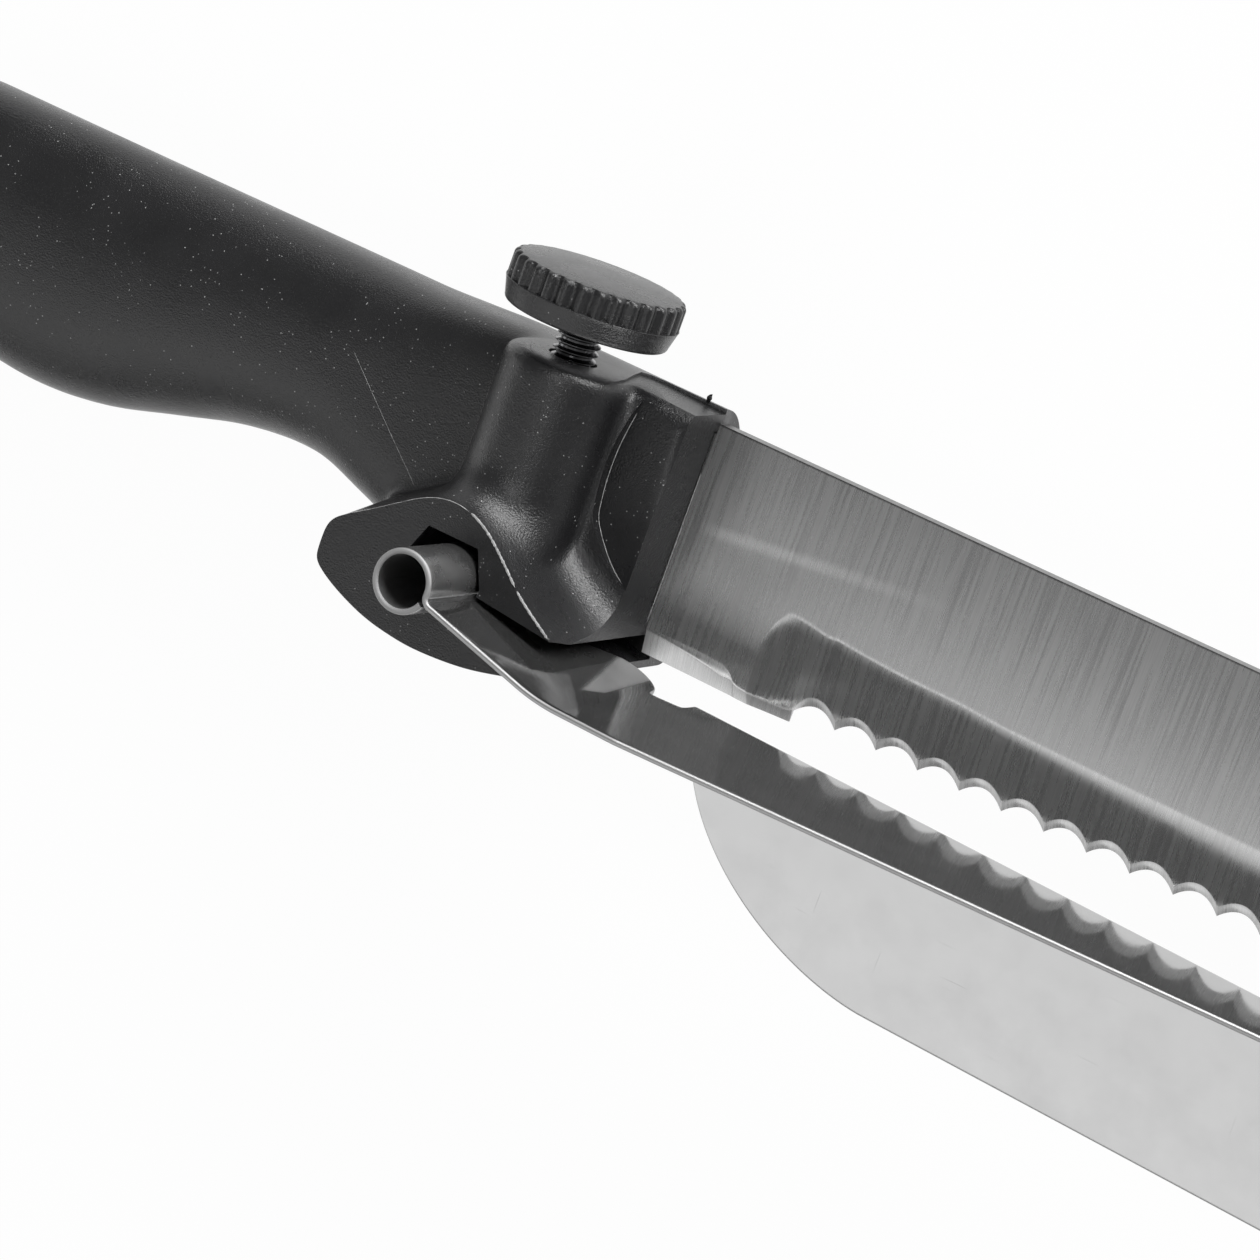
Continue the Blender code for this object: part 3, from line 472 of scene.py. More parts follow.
butt = [(-GRIP_LENGTH + BUTT_ROUNDING * (1.0 - math.cos(t)), math.sin(t)) for t in
        (math.radians(90.0) * i / 12 for i in range(2, 12))]
body = [(-GRIP_LENGTH + BUTT_ROUNDING + i * 2.5, 1.0) for i in range(51)]
grip = drawn_out(96, butt + body, grip_point)
boss = cylinder(BOSS_RADIUS, -27.0, TOP)
boss_rim = [e for e in boss.edges if all(v.co.y > TOP - 0.1 for v in e.verts)]
bmesh.ops.bevel(boss, geom=boss_rim, offset=1.5, offset_type="OFFSET", segments=4, profile=0.5,
                affect="EDGES", material=-1)


def wall_at(x):
    """Depth at x of the wall that the saddle runs into: the boss, and the block beside it."""
    inside = BOSS_RADIUS ** 2 - (x - SCREW_X) ** 2
    return max(BLOCK_FACE, SCREW_Z + math.sqrt(inside)) if inside > 0.0 else BLOCK_FACE


def wing_point(x, share):
    """Point of the wing's section at x: out from its back along the saddle, down beyond the face, which
    is cut later, back along the belly and up again."""
    wall = wall_at(x)
    reach = WING_FACE + 3.0
    rim, belly = keyed(WING_RIM, x), keyed(WING_BELLY, x)
    if share < 0.75:
        z = WING_BACK + (reach - WING_BACK) * share / 0.75
        level = (WING_FACE - z) / (WING_FACE - wall)
        radius = keyed(SADDLE_SWEEP, x)
        out = ramp(z, wall, wall + radius)
        sweep = radius * (1.0 - math.sqrt(1.0 - (1.0 - out) ** 2))
        return (x, rim + WING_RISE * min(level, 1.0) * (level > 0.0) + sweep, z)
    if share < 0.8:
        return (x, rim + (belly - rim) * (share - 0.75) / 0.05, reach)
    if share < 0.95:
        return (x, belly, reach - (reach - WING_BACK) * (share - 0.8) / 0.15)
    return (x, belly + (rim - belly) * (share - 0.95) / 0.1, WING_BACK)


wing = drawn_out(120, [WING_START + (WING_END - WING_START) * i / 120 for i in range(121)], wing_point)

# Everything runs together into one skin, as in the mould, and is crisp only where it is cut
blank = holder(shaped(grip, joined=[boss, wing]))
skin = blank.modifiers.new("skin", "REMESH")
skin.mode = "VOXEL"
skin.voxel_size = 0.5
moulding = with_modifiers(blank)
for _ in range(14):
    bmesh.ops.smooth_vert(moulding, verts=moulding.verts, factor=0.5, use_axis_x=True, use_axis_y=True,
                          use_axis_z=True)

# Scooped recess between the boss and the front of the block, out to a rounded top and front edge
CREASE = [(-25.5, 3.5), (-23.0, -0.1), (-21.4, -2.8), (-19.3, -5.2), (-16.4, -7.5), (-13.9, -8.1),
          (-9.8, -8.4), (-5.6, -8.2), (0.2, -7.2), (2.0, -6.6), (4.0, -6.0)]


def recess_floor(x, y):
    """Depth of the recess at a point, hollow along the crease and falling away to the front and top."""
    hollow = 9.5 + ramp(x, -8.0, 0.0) ** 1.5
    front = max(0.0, x + 1.4) / 1.4
    over = max(0.0, y - 0.2) / 1.7
    return hollow - 0.8 * min(front, 2.0) ** 2 * ramp(y, -14.0, -2.0) - 2.2 * over ** 2.2


recess = bmesh.new()
recess_grid = bmesh.ops.create_grid(recess, x_segments=24, y_segments=60, size=0.5)["verts"]
for vert in recess_grid:
    y = -25.0 + 29.0 * (vert.co.y + 0.5)
    x = keyed(CREASE, y)
    x += (2.5 - x) * (vert.co.x + 0.5)
    vert.co = (x, y, recess_floor(x, y))
lid = bmesh.ops.extrude_face_region(recess, geom=recess.faces[:])["geom"]
for vert in (g for g in lid if isinstance(g, bmesh.types.BMVert)):
    vert.co.z = 30.0
bmesh.ops.recalc_face_normals(recess, faces=recess.faces)

# The near half of the top sits lower than the land round the screw, with the mould's parting between
LAND = [(-24.6, 9.5), (-23.2, 13.5), (-21.0, 17.0), (-18.6, 19.0), (-16.2, 19.7), (-14.2, 19.2),
        (-12.4, 17.9), (-11.0, 15.6), (-10.4, 12.5), (-10.8, 9.0), (-11.8, 5.0), (-12.6, 1.4),
        (-11.6, 0.2), (-9.8, -0.2), (0.0, -0.2), (4.0, -0.2), (4.0, 24.0), (-24.6, 24.0)]
STEP_FALL = 0.03
step = prism([(x, -z) for x, z in LAND], 0.0, 6.0)
bmesh.ops.rotate(step, verts=step.verts, matrix=Matrix.Rotation(math.radians(-90.0), 3, "X"))
for vert in step.verts:
    if vert.co.y < 3.0:
        vert.co.y = TOP - STEP_FALL * (vert.co.x - LAND[0][0])

# Pocket for the guide's loop, slot for its arm, bore and seat for the screw, and the tang's cavity
LOOP_X = SCREW_X
LOOP_Y = -28.0
SHEET = 0.8
PLAY = 0.3
ARM_SLOPE = math.radians(14.5)
ARM_START = Vector((-13.07, -29.602))


def arm_height(x):
    """Height of the middle of the guide's arm at x."""
    return ARM_START.y - (x - ARM_START.x) * math.tan(ARM_SLOPE)


def trimmer(start, end, low, high):
    """A block that trims the moulding's whole height from one X to another and from low to high."""
    return prism([(start, -60.0), (end, -60.0), (end, 20.0), (start, 20.0)], low, high)


pocket = prism([(-22.55, -22.9), (-24.75, LOOP_Y), (-22.55, -32.55), (-14.85, -32.55), (-12.65, LOOP_Y),
                (-14.85, -22.9)], -7.7, 29.0)
slot = prism([(LOOP_X, -28.23), (LOOP_X, arm_height(LOOP_X) - 0.72), (4.0, arm_height(4.0) - 0.72),
              (4.0, -30.24)], -4.0, 29.0)
tang = prism([(4.0, ROOT_TOP + PLAY), (ROOT_END - PLAY, ROOT_TOP + PLAY),
              (ROOT_END - PLAY, TANG_TOP + PLAY), (TANG_CORNER, TANG_TOP + PLAY),
              (TANG_END - PLAY, -7.7), (TANG_END - PLAY, -15.8),
              (TANG_CORNER, TANG_EDGE - PLAY), (ROOT_END - PLAY, TANG_EDGE - PLAY),
              (ROOT_END - PLAY, ROOT_EDGE - PLAY), (4.0, ROOT_EDGE - PLAY)],
             -BLADE_HALF - PLAY, BLADE_HALF + PLAY)
front = trimmer(0.0, 30.0, -40.0, 60.0)
face = trimmer(-60.0, 30.0, WING_FACE, 60.0)
table = trimmer(-150.0, 30.0, -40.0, BACK)
moulding = shaped(moulding, cut=[recess, step, pocket, slot, tang, front, face, table,
                                 cylinder(BORE_RADIUS, -26.0, 6.0), cylinder(SEAT_RADIUS, -13.4, -1.8)])

# The land round the screw is rubbed, and painted paler than the rest as a painted sheen
painted_sheen = moulding.verts.layers.float.new("painted_sheen")
for vert in moulding.verts:
    x, y, z = vert.co
    vert[painted_sheen] = ramp(y, TOP - 0.5, TOP - 0.1) * ramp(x, -27.5, -25.0) * (1.0 - ramp(z, 19.2, 20.2))


def moulded_plastic(name, shades):
    """Black polypropylene from a spark-eroded mould: a matt grain of 0.25 mm that breaks every highlight
    into sparks, a wide soft sheen, and pale specks of dust, 0.1 mm wide, that the grain holds."""
    material, tree, shader, where = new_material(name)
    patches = add(tree, "TexNoise", {"Vector": where, "Scale": 130.0, "Detail": 5.0})
    grain = add(tree, "TexNoise", {"Vector": where, "Scale": 4300.0, "Detail": 2.0})
    peel = add(tree, "TexNoise", {"Vector": where, "Scale": 900.0, "Detail": 2.0})
    dust = add(tree, "TexVoronoi", {"Vector": where, "Scale": 1700.0})
    threshold = add(tree, "MapRange", {"Value": patches, "From Min": 0.40, "From Max": 0.60,
                                       "To Min": 0.93, "To Max": 0.62})
    near = add(tree, "MapRange", {"Value": dust, "From Min": 0.05, "From Max": 0.2,
                                  "To Min": 1.0, "To Max": 0.0})
    chosen = add(tree, "Math", {0: dust.outputs["Color"], 1: threshold}, operation="GREATER_THAN")
    speck = add(tree, "Math", {0: near, 1: chosen}, operation="MULTIPLY")
    tone = add(tree, "Mix", {0: patches, 6: colour(shades[0]), 7: colour(shades[1])}, data_type="RGBA")
    dusty = add(tree, "Mix", {0: speck, 6: tone.outputs[2], 7: colour("9c9c9c")}, data_type="RGBA")
    # Painted sheen: the land round the screw is painted paler
    painted_sheen_share = add(tree, "Attribute", {}, attribute_name="painted_sheen").outputs["Fac"]
    paler = add(tree, "Mix", {0: painted_sheen_share, 6: dusty.outputs[2], 7: colour("4d4d4e")}, data_type="RGBA")
    rough = add(tree, "MapRange", {"Value": patches, "From Min": 0.3, "From Max": 0.7,
                                   "To Min": 0.24, "To Max": 0.34})
    height = add(tree, "Math", {0: peel, 1: 0.4, 2: grain}, operation="MULTIPLY_ADD")
    bump = add(tree, "Bump", {"Height": height, "Strength": 1.0, "Distance": 0.00008})
    feed(tree, shader, {"Base Color": paler.outputs[2], "Roughness": rough, "Normal": bump, "IOR": 1.49})
    return material


# Flash: the thread of plastic that creeps out where the mould's steels meet: along the rim of the wing,
# down the crease beside the boss, across the grip and beside the blade. It is rubbed pale, and one nib
# of it stands up at the top. Beside the blade the pale thread is also a painted highlight on that edge.
surface = BVHTree.FromBMesh(moulding)


def laid(points, look, start):
    """Points dropped onto the handle's skin along look, from start millimetres away."""
    found = []
    for point in points:
        hit = surface.ray_cast(Vector(point) - Vector(look) * start, Vector(look))[0]
        if hit:
            found.append(hit)
    return found


def thread_of_flash(path, radius):
    """A thin six-sided thread along a path, uneven in thickness and pointed at its ends."""
    def thread_point(number, share):
        ahead = path[min(number + 1, len(path) - 1)] - path[max(number - 1, 0)]
        side = ahead.cross(Vector((0.0, 0.3, 1.0))).normalized()
        up = side.cross(ahead).normalized()
        taper = min(1.0, 0.15 + 0.5 * min(number, len(path) - 1 - number))
        width = radius * taper * (1.0 + 0.35 * math.sin(number * 2.3) * math.cos(number * 0.9))
        angle = 2.0 * math.pi * share
        return path[number] + (side * math.cos(angle) + up * math.sin(angle)) * width
    return drawn_out(6, range(len(path)), thread_point)


def merged(pieces):
    """Several bmeshes in one."""
    whole = bmesh.new()
    for piece in pieces:
        mesh = bpy.data.meshes.new("part")
        piece.to_mesh(mesh)
        piece.free()
        whole.from_mesh(mesh)
        bpy.data.meshes.remove(mesh)
    return whole


def along_rim(start, length, count):
    """Path along the rim at the wing's face, found from above."""
    return laid([(start + length * i / count, 0.0, WING_FACE - 0.08) for i in range(count + 1)],
                (0.0, -1.0, 0.0), 5.0)


back_path = along_rim(-34.0, 16.3, 40)
rim_path = along_rim(-17.5, 9.3, 40)
lip_path = along_rim(-7.8, 6.3, 34)
crease_path = laid([(keyed(CREASE, y) + 0.12, y, 12.0)
                    for y in (-1.5 - 21.0 * i / 60 for i in range(61))], (0.0, 0.0, -1.0), 10.0)
seam_path = laid([(-49.0 + 15.6 * i / 30, -9.8 - 12.8 * i / 30, 8.0) for i in range(31)],
                 (0.0, 0.0, -1.0), 12.0)
# Beside the blade: a pale thread, flash and in part a painted highlight along the joint's edge
joint_path = [Vector((0.1, -7.0 - 0.35 * i, BLADE_HALF + 0.02)) for i in range(61)]
nib_path = [Vector((-2.9, TOP - 0.4, 0.0)), Vector((-2.9, TOP, 0.0)), Vector((-2.85, TOP + 0.45, 0.05)),
            Vector((-2.75, TOP + 0.8, 0.1)), Vector((-2.6, TOP + 1.0, 0.1))]
flash_plastic, tree, shader, where = new_material("polypropylene_flash")
uneven = add(tree, "TexNoise", {"Vector": where, "Scale": 1500.0})
whitened = add(tree, "Mix", {0: uneven, 6: colour("4c4c4c"), 7: colour("c8c8c8")}, data_type="RGBA")
feed(tree, shader, {"Base Color": whitened.outputs[2], "Roughness": 0.5})
handle_plastic = moulded_plastic("polypropylene_handle", ("151516", "1c1c1d"))
flash = merged([thread_of_flash(back_path, 0.06), thread_of_flash(rim_path, 0.17),
                thread_of_flash(lip_path, 0.17), thread_of_flash(crease_path, 0.06),
                thread_of_flash(seam_path, 0.03), thread_of_flash(joint_path, 0.05)])
placed(flash, "mould_flash", flash_plastic, "handle")
placed(thread_of_flash(nib_path, 0.38), "mould_nib", handle_plastic, "handle")
placed(moulding, "handle_moulding", handle_plastic, "handle", "handle", sharp=28.0)

# Slice guide: one strip of polished spring steel, 0.8 mm thick. It is rolled into a loop at one end,
# which the screw presses, and bent down along its far edge into the fence that the slice bears on.
LOOP_RADIUS = 3.85
LOOP_END = -2.4
LOOP_STARTS = math.radians(-27.0)
LOOP_LEAVES = math.radians(-5.0)
NECK_RADIUS = 1.2
ARM_LENGTH = 15.5
BEND_RADIUS = 27.5
DROOP = math.radians(0.8)
TILT = math.tan(math.radians(2.0))
NEAR_EDGE = 36.3
TAPER_START = 17.0
FENCE_FACE = 7.8
FENCE_START = 14.2
FENCE_END = 175.0
FENCE_HEIGHT = 26.5
FENCE_BEND = 1.2
FENCE_HEEL = 35.0
FENCE_TOE = 14.0
TOE_WIDTH = 3.6
FAR_EDGE = [(-13.2, 11.0), (-4.0, 11.0), (-2.6, 10.6), (-1.4, 9.4), (0.0, 8.0), (1.4, 6.8), (3.0, 6.4),
            (4.6, 6.7), (6.2, 7.6), (7.6, 8.9), (8.6, 10.4), (9.0, 12.3), (9.8, 12.7), (12.2, 12.3),
            (13.6, 11.9), (14.0, 10.9), (14.2, 9.0)]
LOOP_STEPS, NECK_STEPS = 72, 12


def strip_path():
    """Middle of the sheet in side view, from the loop's free end to the end of the fence."""
    centre = Vector((LOOP_X, LOOP_Y))
    points = []
    sweep = LOOP_LEAVES - LOOP_STARTS - 2.0 * math.pi
    for i in range(LOOP_STEPS + 1):
        angle = LOOP_STARTS + sweep * i / LOOP_STEPS
        points.append(centre + Vector((math.cos(angle), math.sin(angle))) * LOOP_RADIUS)
    neck = centre + Vector((math.cos(LOOP_LEAVES), math.sin(LOOP_LEAVES))) * (LOOP_RADIUS + NECK_RADIUS)
    turn = math.pi / 2.0 - ARM_SLOPE - LOOP_LEAVES
    for i in range(1, NECK_STEPS + 1):
        angle = LOOP_LEAVES + math.pi + turn * i / NECK_STEPS
        points.append(neck + Vector((math.cos(angle), math.sin(angle))) * NECK_RADIUS)
    start = points[-1].copy()
    fall = Vector((math.cos(ARM_SLOPE), -math.sin(ARM_SLOPE)))
    points += [start + fall * (ARM_LENGTH * i / 40) for i in range(1, 41)]
    centre = points[-1] + Vector((math.sin(ARM_SLOPE), math.cos(ARM_SLOPE))) * BEND_RADIUS
    for i in range(1, 19):
        angle = ARM_SLOPE + (DROOP - ARM_SLOPE) * i / 18
        points.append(centre - Vector((math.sin(angle), math.cos(angle))) * BEND_RADIUS)
    x, y = points[-1]
    stations = [8.6, 8.75, 8.9, 9.05, 9.4, 9.8, 10.6, 11.6, 12.6, 13.3, 13.6, 13.8, 13.95, 14.1,
                FENCE_START]
    stations += [FENCE_START + FENCE_HEEL * (i / 48) ** 1.5 for i in range(1, 49)]
    stations += [stations[-1] + (FENCE_END - FENCE_TOE - stations[-1]) * i / 70 for i in range(1, 71)]
    stations += [FENCE_END - FENCE_TOE * (1.0 - i / 24) ** 1.5 for i in range(1, 25)]
    return points + [Vector((at, y - (at - x) * math.tan(DROOP))) for at in stations]


def near_edge(x):
    """Z of the shelf's outer edge at x, which tapers towards the fence."""
    return NEAR_EDGE + (FENCE_FACE + TOE_WIDTH - NEAR_EDGE) * ramp(x, TAPER_START, FENCE_END)


def fence_depth(x):
    """Height of the fence below the shelf at x, with a large round heel and a smaller round toe."""
    heel = ramp(x, FENCE_START + 0.6, FENCE_START + 0.6 + FENCE_HEEL)
    toe = ramp(FENCE_END - x, 0.0, FENCE_TOE)
    rounded = min((1.0 - (1.0 - heel) ** 1.75) ** (1.0 / 1.75), (1.0 - (1.0 - toe) ** 2) ** 0.5)
    return FENCE_BEND * 2.0 + (FENCE_HEIGHT - FENCE_BEND * 2.0) * rounded


EDGE_ROWS = [0.0, 0.03, 0.12, 0.25, 0.4]
SHELF_STEPS, BEND_STEPS, FENCE_STEPS = 40, 6, 16
across = SHELF_STEPS + BEND_STEPS + FENCE_STEPS
path = strip_path()

# The neck keeps the loop's depth until just past its middle, where the wider arm begins
arm_begins = LOOP_STEPS + NECK_STEPS // 2 + 2
fence_begins = min(i for i, point in enumerate(path) if point.x >= FENCE_START)


def spread(start, end, step, steps):
    """Place of a row of points between two edges of the sheet, where the outermost rows lie close."""
    inward = math.copysign(1.0, end - start)
    if step < len(EDGE_ROWS):
        return start + inward * EDGE_ROWS[step]
    if step > steps - len(EDGE_ROWS):
        return end - inward * EDGE_ROWS[steps - step]
    first, last = start + inward * EDGE_ROWS[-1], end - inward * EDGE_ROWS[-1]
    return first + (last - first) * (step - len(EDGE_ROWS) + 1) / (steps - 2 * len(EDGE_ROWS) + 2)


def edge_rounding(step, last_step):
    """Share of the sheet's thickness at a row of points, which makes its sheared edges half round."""
    row = max(min(step, last_step - step), 0)
    if row >= len(EDGE_ROWS):
        return 1.0
    return max(0.1, math.sqrt(1.0 - (1.0 - EDGE_ROWS[row] / EDGE_ROWS[-1]) ** 2))


def guide_point(number, step):
    """Point of the sheet's middle surface at a station of the path and a step across the strip."""
    x, y = path[number]
    fenced = number >= fence_begins
    bend_z = FENCE_FACE + SHEET / 2.0
    near = near_edge(x)
    far = bend_z + FENCE_BEND if fenced else keyed(FAR_EDGE, x)
    if number < arm_begins:
        far = LOOP_END
    z = spread(near, far, min(step, SHELF_STEPS), SHELF_STEPS)
    if number >= arm_begins:
        tilted = ramp(x, -13.5, 8.8)
        y += TILT * tilted ** 2 * (3.0 - 2.0 * tilted) * (near - z)
    if not fenced or step <= SHELF_STEPS:
        return (x, y, z)
    if step <= SHELF_STEPS + BEND_STEPS:
        angle = math.radians(90.0) * (step - SHELF_STEPS) / BEND_STEPS
        return (x, y - FENCE_BEND * (1.0 - math.cos(angle)),
                bend_z + FENCE_BEND * (1.0 - math.sin(angle)))
    start, end = y - FENCE_BEND, y - fence_depth(x) + SHEET / 2.0
    return (x, spread(start, end, step - SHELF_STEPS - BEND_STEPS, FENCE_STEPS), bend_z)


SCUFF = [(5.35, 25.75), (-0.31, 4.96), (6.75, 7.08), (7.33, 21.4)]


def scuffed(x, z):
    """Share of scuffing where the strip has been bent to set it: a fan across the start of the shelf."""
    depth = 9.0
    for (x0, z0), (x1, z1) in zip(SCUFF, SCUFF[1:] + SCUFF[:1]):
        length = math.hypot(x1 - x0, z1 - z0)
        depth = min(depth, ((z - z0) * (x1 - x0) - (x - x0) * (z1 - z0)) / length)
    return ramp(depth, -0.2, 0.5)


sheet = bmesh.new()
worn = sheet.verts.layers.float.new("worn")
sheared = sheet.verts.layers.float.new("sheared")
weights = sheet.verts.layers.deform.verify()
bmesh.ops.create_grid(sheet, x_segments=len(path) - 1, y_segments=across, size=0.5)
places = {vert: (round((vert.co.x + 0.5) * (len(path) - 1)), round((vert.co.y + 0.5) * across))
          for vert in sheet.verts}
unfenced = [f for f in sheet.faces if min(places[v][0] for v in f.verts) < fence_begins
            and max(places[v][1] for v in f.verts) > SHELF_STEPS]
for vert, (number, cell) in places.items():
    vert.co = guide_point(number, cell)
    fullness = edge_rounding(cell, across if number >= fence_begins else SHELF_STEPS)
    vert[worn] = scuffed(vert.co.x, vert.co.z) if number > arm_begins else 0.0
    vert[sheared] = 1.0 if fullness < 0.99 else 0.0
    vert[weights][0] = fullness
bmesh.ops.delete(sheet, geom=unfenced, context="FACES")
bmesh.ops.recalc_face_normals(sheet, faces=sheet.faces)
blank = holder(sheet)
wall = blank.modifiers.new("wall", "SOLIDIFY")
wall.thickness = SHEET
wall.offset = 0.0
wall.use_even_offset = True
wall.vertex_group = blank.vertex_groups.new(name="thickness").name


def polished_spring_steel():
    """Cold rolled spring steel, bright polished: a mirror that is a little cloudy and wavy, with hair
    scratches about 0.1 mm wide. The loop is left dull by the rolling, the bend is scuffed, and the
    sheared edges are matt."""
    material, tree, shader, where = new_material("polished_spring_steel")
    clouds = add(tree, "TexNoise", {"Vector": where, "Scale": 170.0, "Detail": 6.0})
    tone = add(tree, "Mix", {0: clouds, 6: colour("a9a9a9"), 7: colour("bebebe")}, data_type="RGBA")
    scratches = []
    for turn, stretch in ((0.9, (2400.0, 110.0, 110.0)), (-0.35, (110.0, 3000.0, 110.0))):
        drawn = add(tree, "Mapping", {"Vector": where, "Rotation": (0.0, 0.0, turn), "Scale": stretch})
        hairs = add(tree, "TexNoise", {"Vector": drawn, "Scale": 1.0, "Detail": 1.0})
        scratches.append(add(tree, "MapRange", {"Value": hairs, "From Min": 0.75, "From Max": 0.86,
                                                "To Max": 0.6}))
    scratch = add(tree, "Math", {0: scratches[0], 1: scratches[1]}, operation="MAXIMUM")
    scored = add(tree, "Mix", {0: scratch, 6: tone.outputs[2], 7: colour("8c8c8c")}, data_type="RGBA")
    scuff = add(tree, "Attribute", {}, attribute_name="worn").outputs["Fac"]
    lighter = add(tree, "Mix", {0: scuff, 6: scored.outputs[2], 7: colour("dcdcdc")}, data_type="RGBA")
    edge = add(tree, "Attribute", {}, attribute_name="sheared").outputs["Fac"]
    greyer = add(tree, "Mix", {0: edge, 6: lighter.outputs[2], 7: colour("a8a8a8")}, data_type="RGBA")
    rough = add(tree, "MapRange", {"Value": clouds, "From Min": 0.3, "From Max": 0.7,
                                   "To Min": 0.05, "To Max": 0.12})
    loop_axis = DATUM + Vector((LOOP_X, LOOP_Y, 0.0)) / 1000.0
    from_loop = add(tree, "VectorMath", {0: where, 1: loop_axis}, operation="SUBTRACT")
    in_plane = add(tree, "VectorMath", {0: from_loop, 1: (1.0, 1.0, 0.0)}, operation="MULTIPLY")
    reach = add(tree, "VectorMath", {0: in_plane}, operation="LENGTH").outputs["Value"]
    rolled = add(tree, "MapRange", {"Value": reach, "From Min": 0.0036, "From Max": 0.0052,
                                    "To Min": 0.30, "To Max": 0.0})
    scuffed_too = add(tree, "Math", {0: scuff, 1: 0.3, 2: rolled}, operation="MULTIPLY_ADD")
    sheared_too = add(tree, "Math", {0: edge, 1: 0.4, 2: scuffed_too}, operation="MULTIPLY_ADD")
    total = add(tree, "Math", {0: rough, 1: sheared_too}, operation="ADD")
    waves = add(tree, "TexNoise", {"Vector": where, "Scale": 220.0, "Detail": 2.0})
    bump = add(tree, "Bump", {"Height": waves, "Strength": 0.2, "Distance": 0.00005})
    feed(tree, shader, {"Base Color": greyer.outputs[2], "Metallic": 0.95, "Roughness": total,
                        "Normal": bump})
    return material


placed(with_modifiers(blank), "slice_guide_sheet", polished_spring_steel(), "guide",
       "slice_guide", sharp=25.0)

# Clamping stud: M6 steel, thread rolled to a pitch of 1 mm, moulded into the knob by its plain head.
# Its zinc plate is dulled and oily, so it looks dark and takes light only on the crests.
STUD_RADIUS = 3.0
PITCH = 1.0
THREAD_DEPTH = 0.61
STUD_TIP = LOOP_Y + LOOP_RADIUS + SHEET / 2.0 + 0.3
KNOB_FOOT = 6.6
STUD_TOP = KNOB_FOOT + 3.7
TIP_RADIUS = 2.2
TURN_STEPS = 36
stud = bmesh.new()
thread = [(STUD_RADIUS, 0.0), (STUD_RADIUS, 0.125), (STUD_RADIUS - THREAD_DEPTH, 0.4375),
          (STUD_RADIUS - THREAD_DEPTH, 0.6875), (STUD_RADIUS, 1.0)]
tooth = [stud.verts.new((radius, STUD_TIP - 1.5 * PITCH + height * PITCH, 0.0))
         for radius, height in thread]
flanks = [stud.edges.new(pair) for pair in zip(tooth, tooth[1:])]
turns = math.ceil((STUD_TOP - STUD_TIP) / PITCH) + 2
bmesh.ops.spin(stud, geom=tooth + flanks, axis=(0.0, 1.0, 0.0), cent=(0.0, 0.0, 0.0),
               steps=TURN_STEPS * turns, angle=2.0 * math.pi * turns,
               dvec=(0.0, PITCH / TURN_STEPS, 0.0), use_duplicate=False)
bmesh.ops.remove_doubles(stud, verts=stud.verts, dist=0.001)
for height, side in ((STUD_TIP, -1.0), (STUD_TOP, 1.0)):
    bmesh.ops.bisect_plane(stud, geom=stud.verts[:] + stud.edges[:] + stud.faces[:], dist=0.0001,
                           plane_co=(0.0, height, 0.0), plane_no=(0.0, side, 0.0), clear_outer=True)
for vert in stud.verts:
    reach = math.hypot(vert.co.x, vert.co.z)
    allowed = TIP_RADIUS + (vert.co.y - STUD_TIP)
    if reach > allowed:
        vert.co.x *= allowed / reach
        vert.co.z *= allowed / reach
bmesh.ops.holes_fill(stud, edges=stud.edges)
bmesh.ops.recalc_face_normals(stud, faces=stud.faces)
bmesh.ops.translate(stud, verts=stud.verts, vec=(SCREW_X, 0.0, SCREW_Z))
material, tree, shader, where = new_material("dulled_zinc_plate")
film = add(tree, "TexNoise", {"Vector": where, "Scale": 600.0, "Detail": 3.0})
plate = add(tree, "Mix", {0: film, 6: colour("4a4a4b"), 7: colour("7c7c7e")}, data_type="RGBA")
feed(tree, shader, {"Base Color": plate.outputs[2], "Metallic": 1.0, "Roughness": 0.22})
placed(stud, "clamp_stud_m6", material, "screw", "clamp_stud", sharp=40.0)

# Knob: black polypropylene moulded on the head of the stud, slightly domed, with thirty round-topped
# ribs on its upper rim and a plain band below them that narrows to the foot.
RIM_RADIUS = 11.75
BAND_RADIUS = 11.69
RIB_RADIUS = 11.65
RIBS = 30
RIB_DEPTH = 0.62
KNOB_TOP = 13.2
KNOB_DOME = 0.6
RIB_FOOT = 9.7
TOP_ROUNDING = 0.75
FOOT_RADIUS = 11.1
FOOT_ROUNDING = 0.7
profile = [(0.0, KNOB_TOP + KNOB_DOME)]
profile += [((RIB_RADIUS - TOP_ROUNDING) * i / 10, KNOB_TOP + KNOB_DOME * (1.0 - (i / 10) ** 2))
            for i in range(1, 11)]
profile += [(RIB_RADIUS - TOP_ROUNDING * (1.0 - math.sin(t)),
             KNOB_TOP - TOP_ROUNDING * (1.0 - math.cos(t)))
            for t in (math.radians(90.0) * i / 7 for i in range(1, 8))]
profile += [(RIB_RADIUS, KNOB_TOP - TOP_ROUNDING + (RIB_FOOT - KNOB_TOP + TOP_ROUNDING) * i / 6)
            for i in range(1, 7)]
profile += [(RIM_RADIUS - 0.03, RIB_FOOT - 0.02), (RIM_RADIUS, RIB_FOOT - 0.1),
            (BAND_RADIUS, RIB_FOOT - 0.2)]
profile += [(BAND_RADIUS + (FOOT_RADIUS - BAND_RADIUS) * i / 4,
             RIB_FOOT - 0.2 + (KNOB_FOOT + FOOT_ROUNDING - RIB_FOOT + 0.2) * i / 4) for i in range(1, 5)]
profile += [(FOOT_RADIUS - FOOT_ROUNDING * (1.0 - math.cos(t)),
             KNOB_FOOT + FOOT_ROUNDING * (1.0 - math.sin(t)))
            for t in (math.radians(90.0) * i / 5 for i in range(1, 6))]
profile += [(BORE_RADIUS, KNOB_FOOT), (BORE_RADIUS, STUD_TOP + 0.3), (0.0, STUD_TOP + 0.3)]
knob = bmesh.new()
section = [knob.verts.new((radius, height, 0.0)) for radius, height in profile]
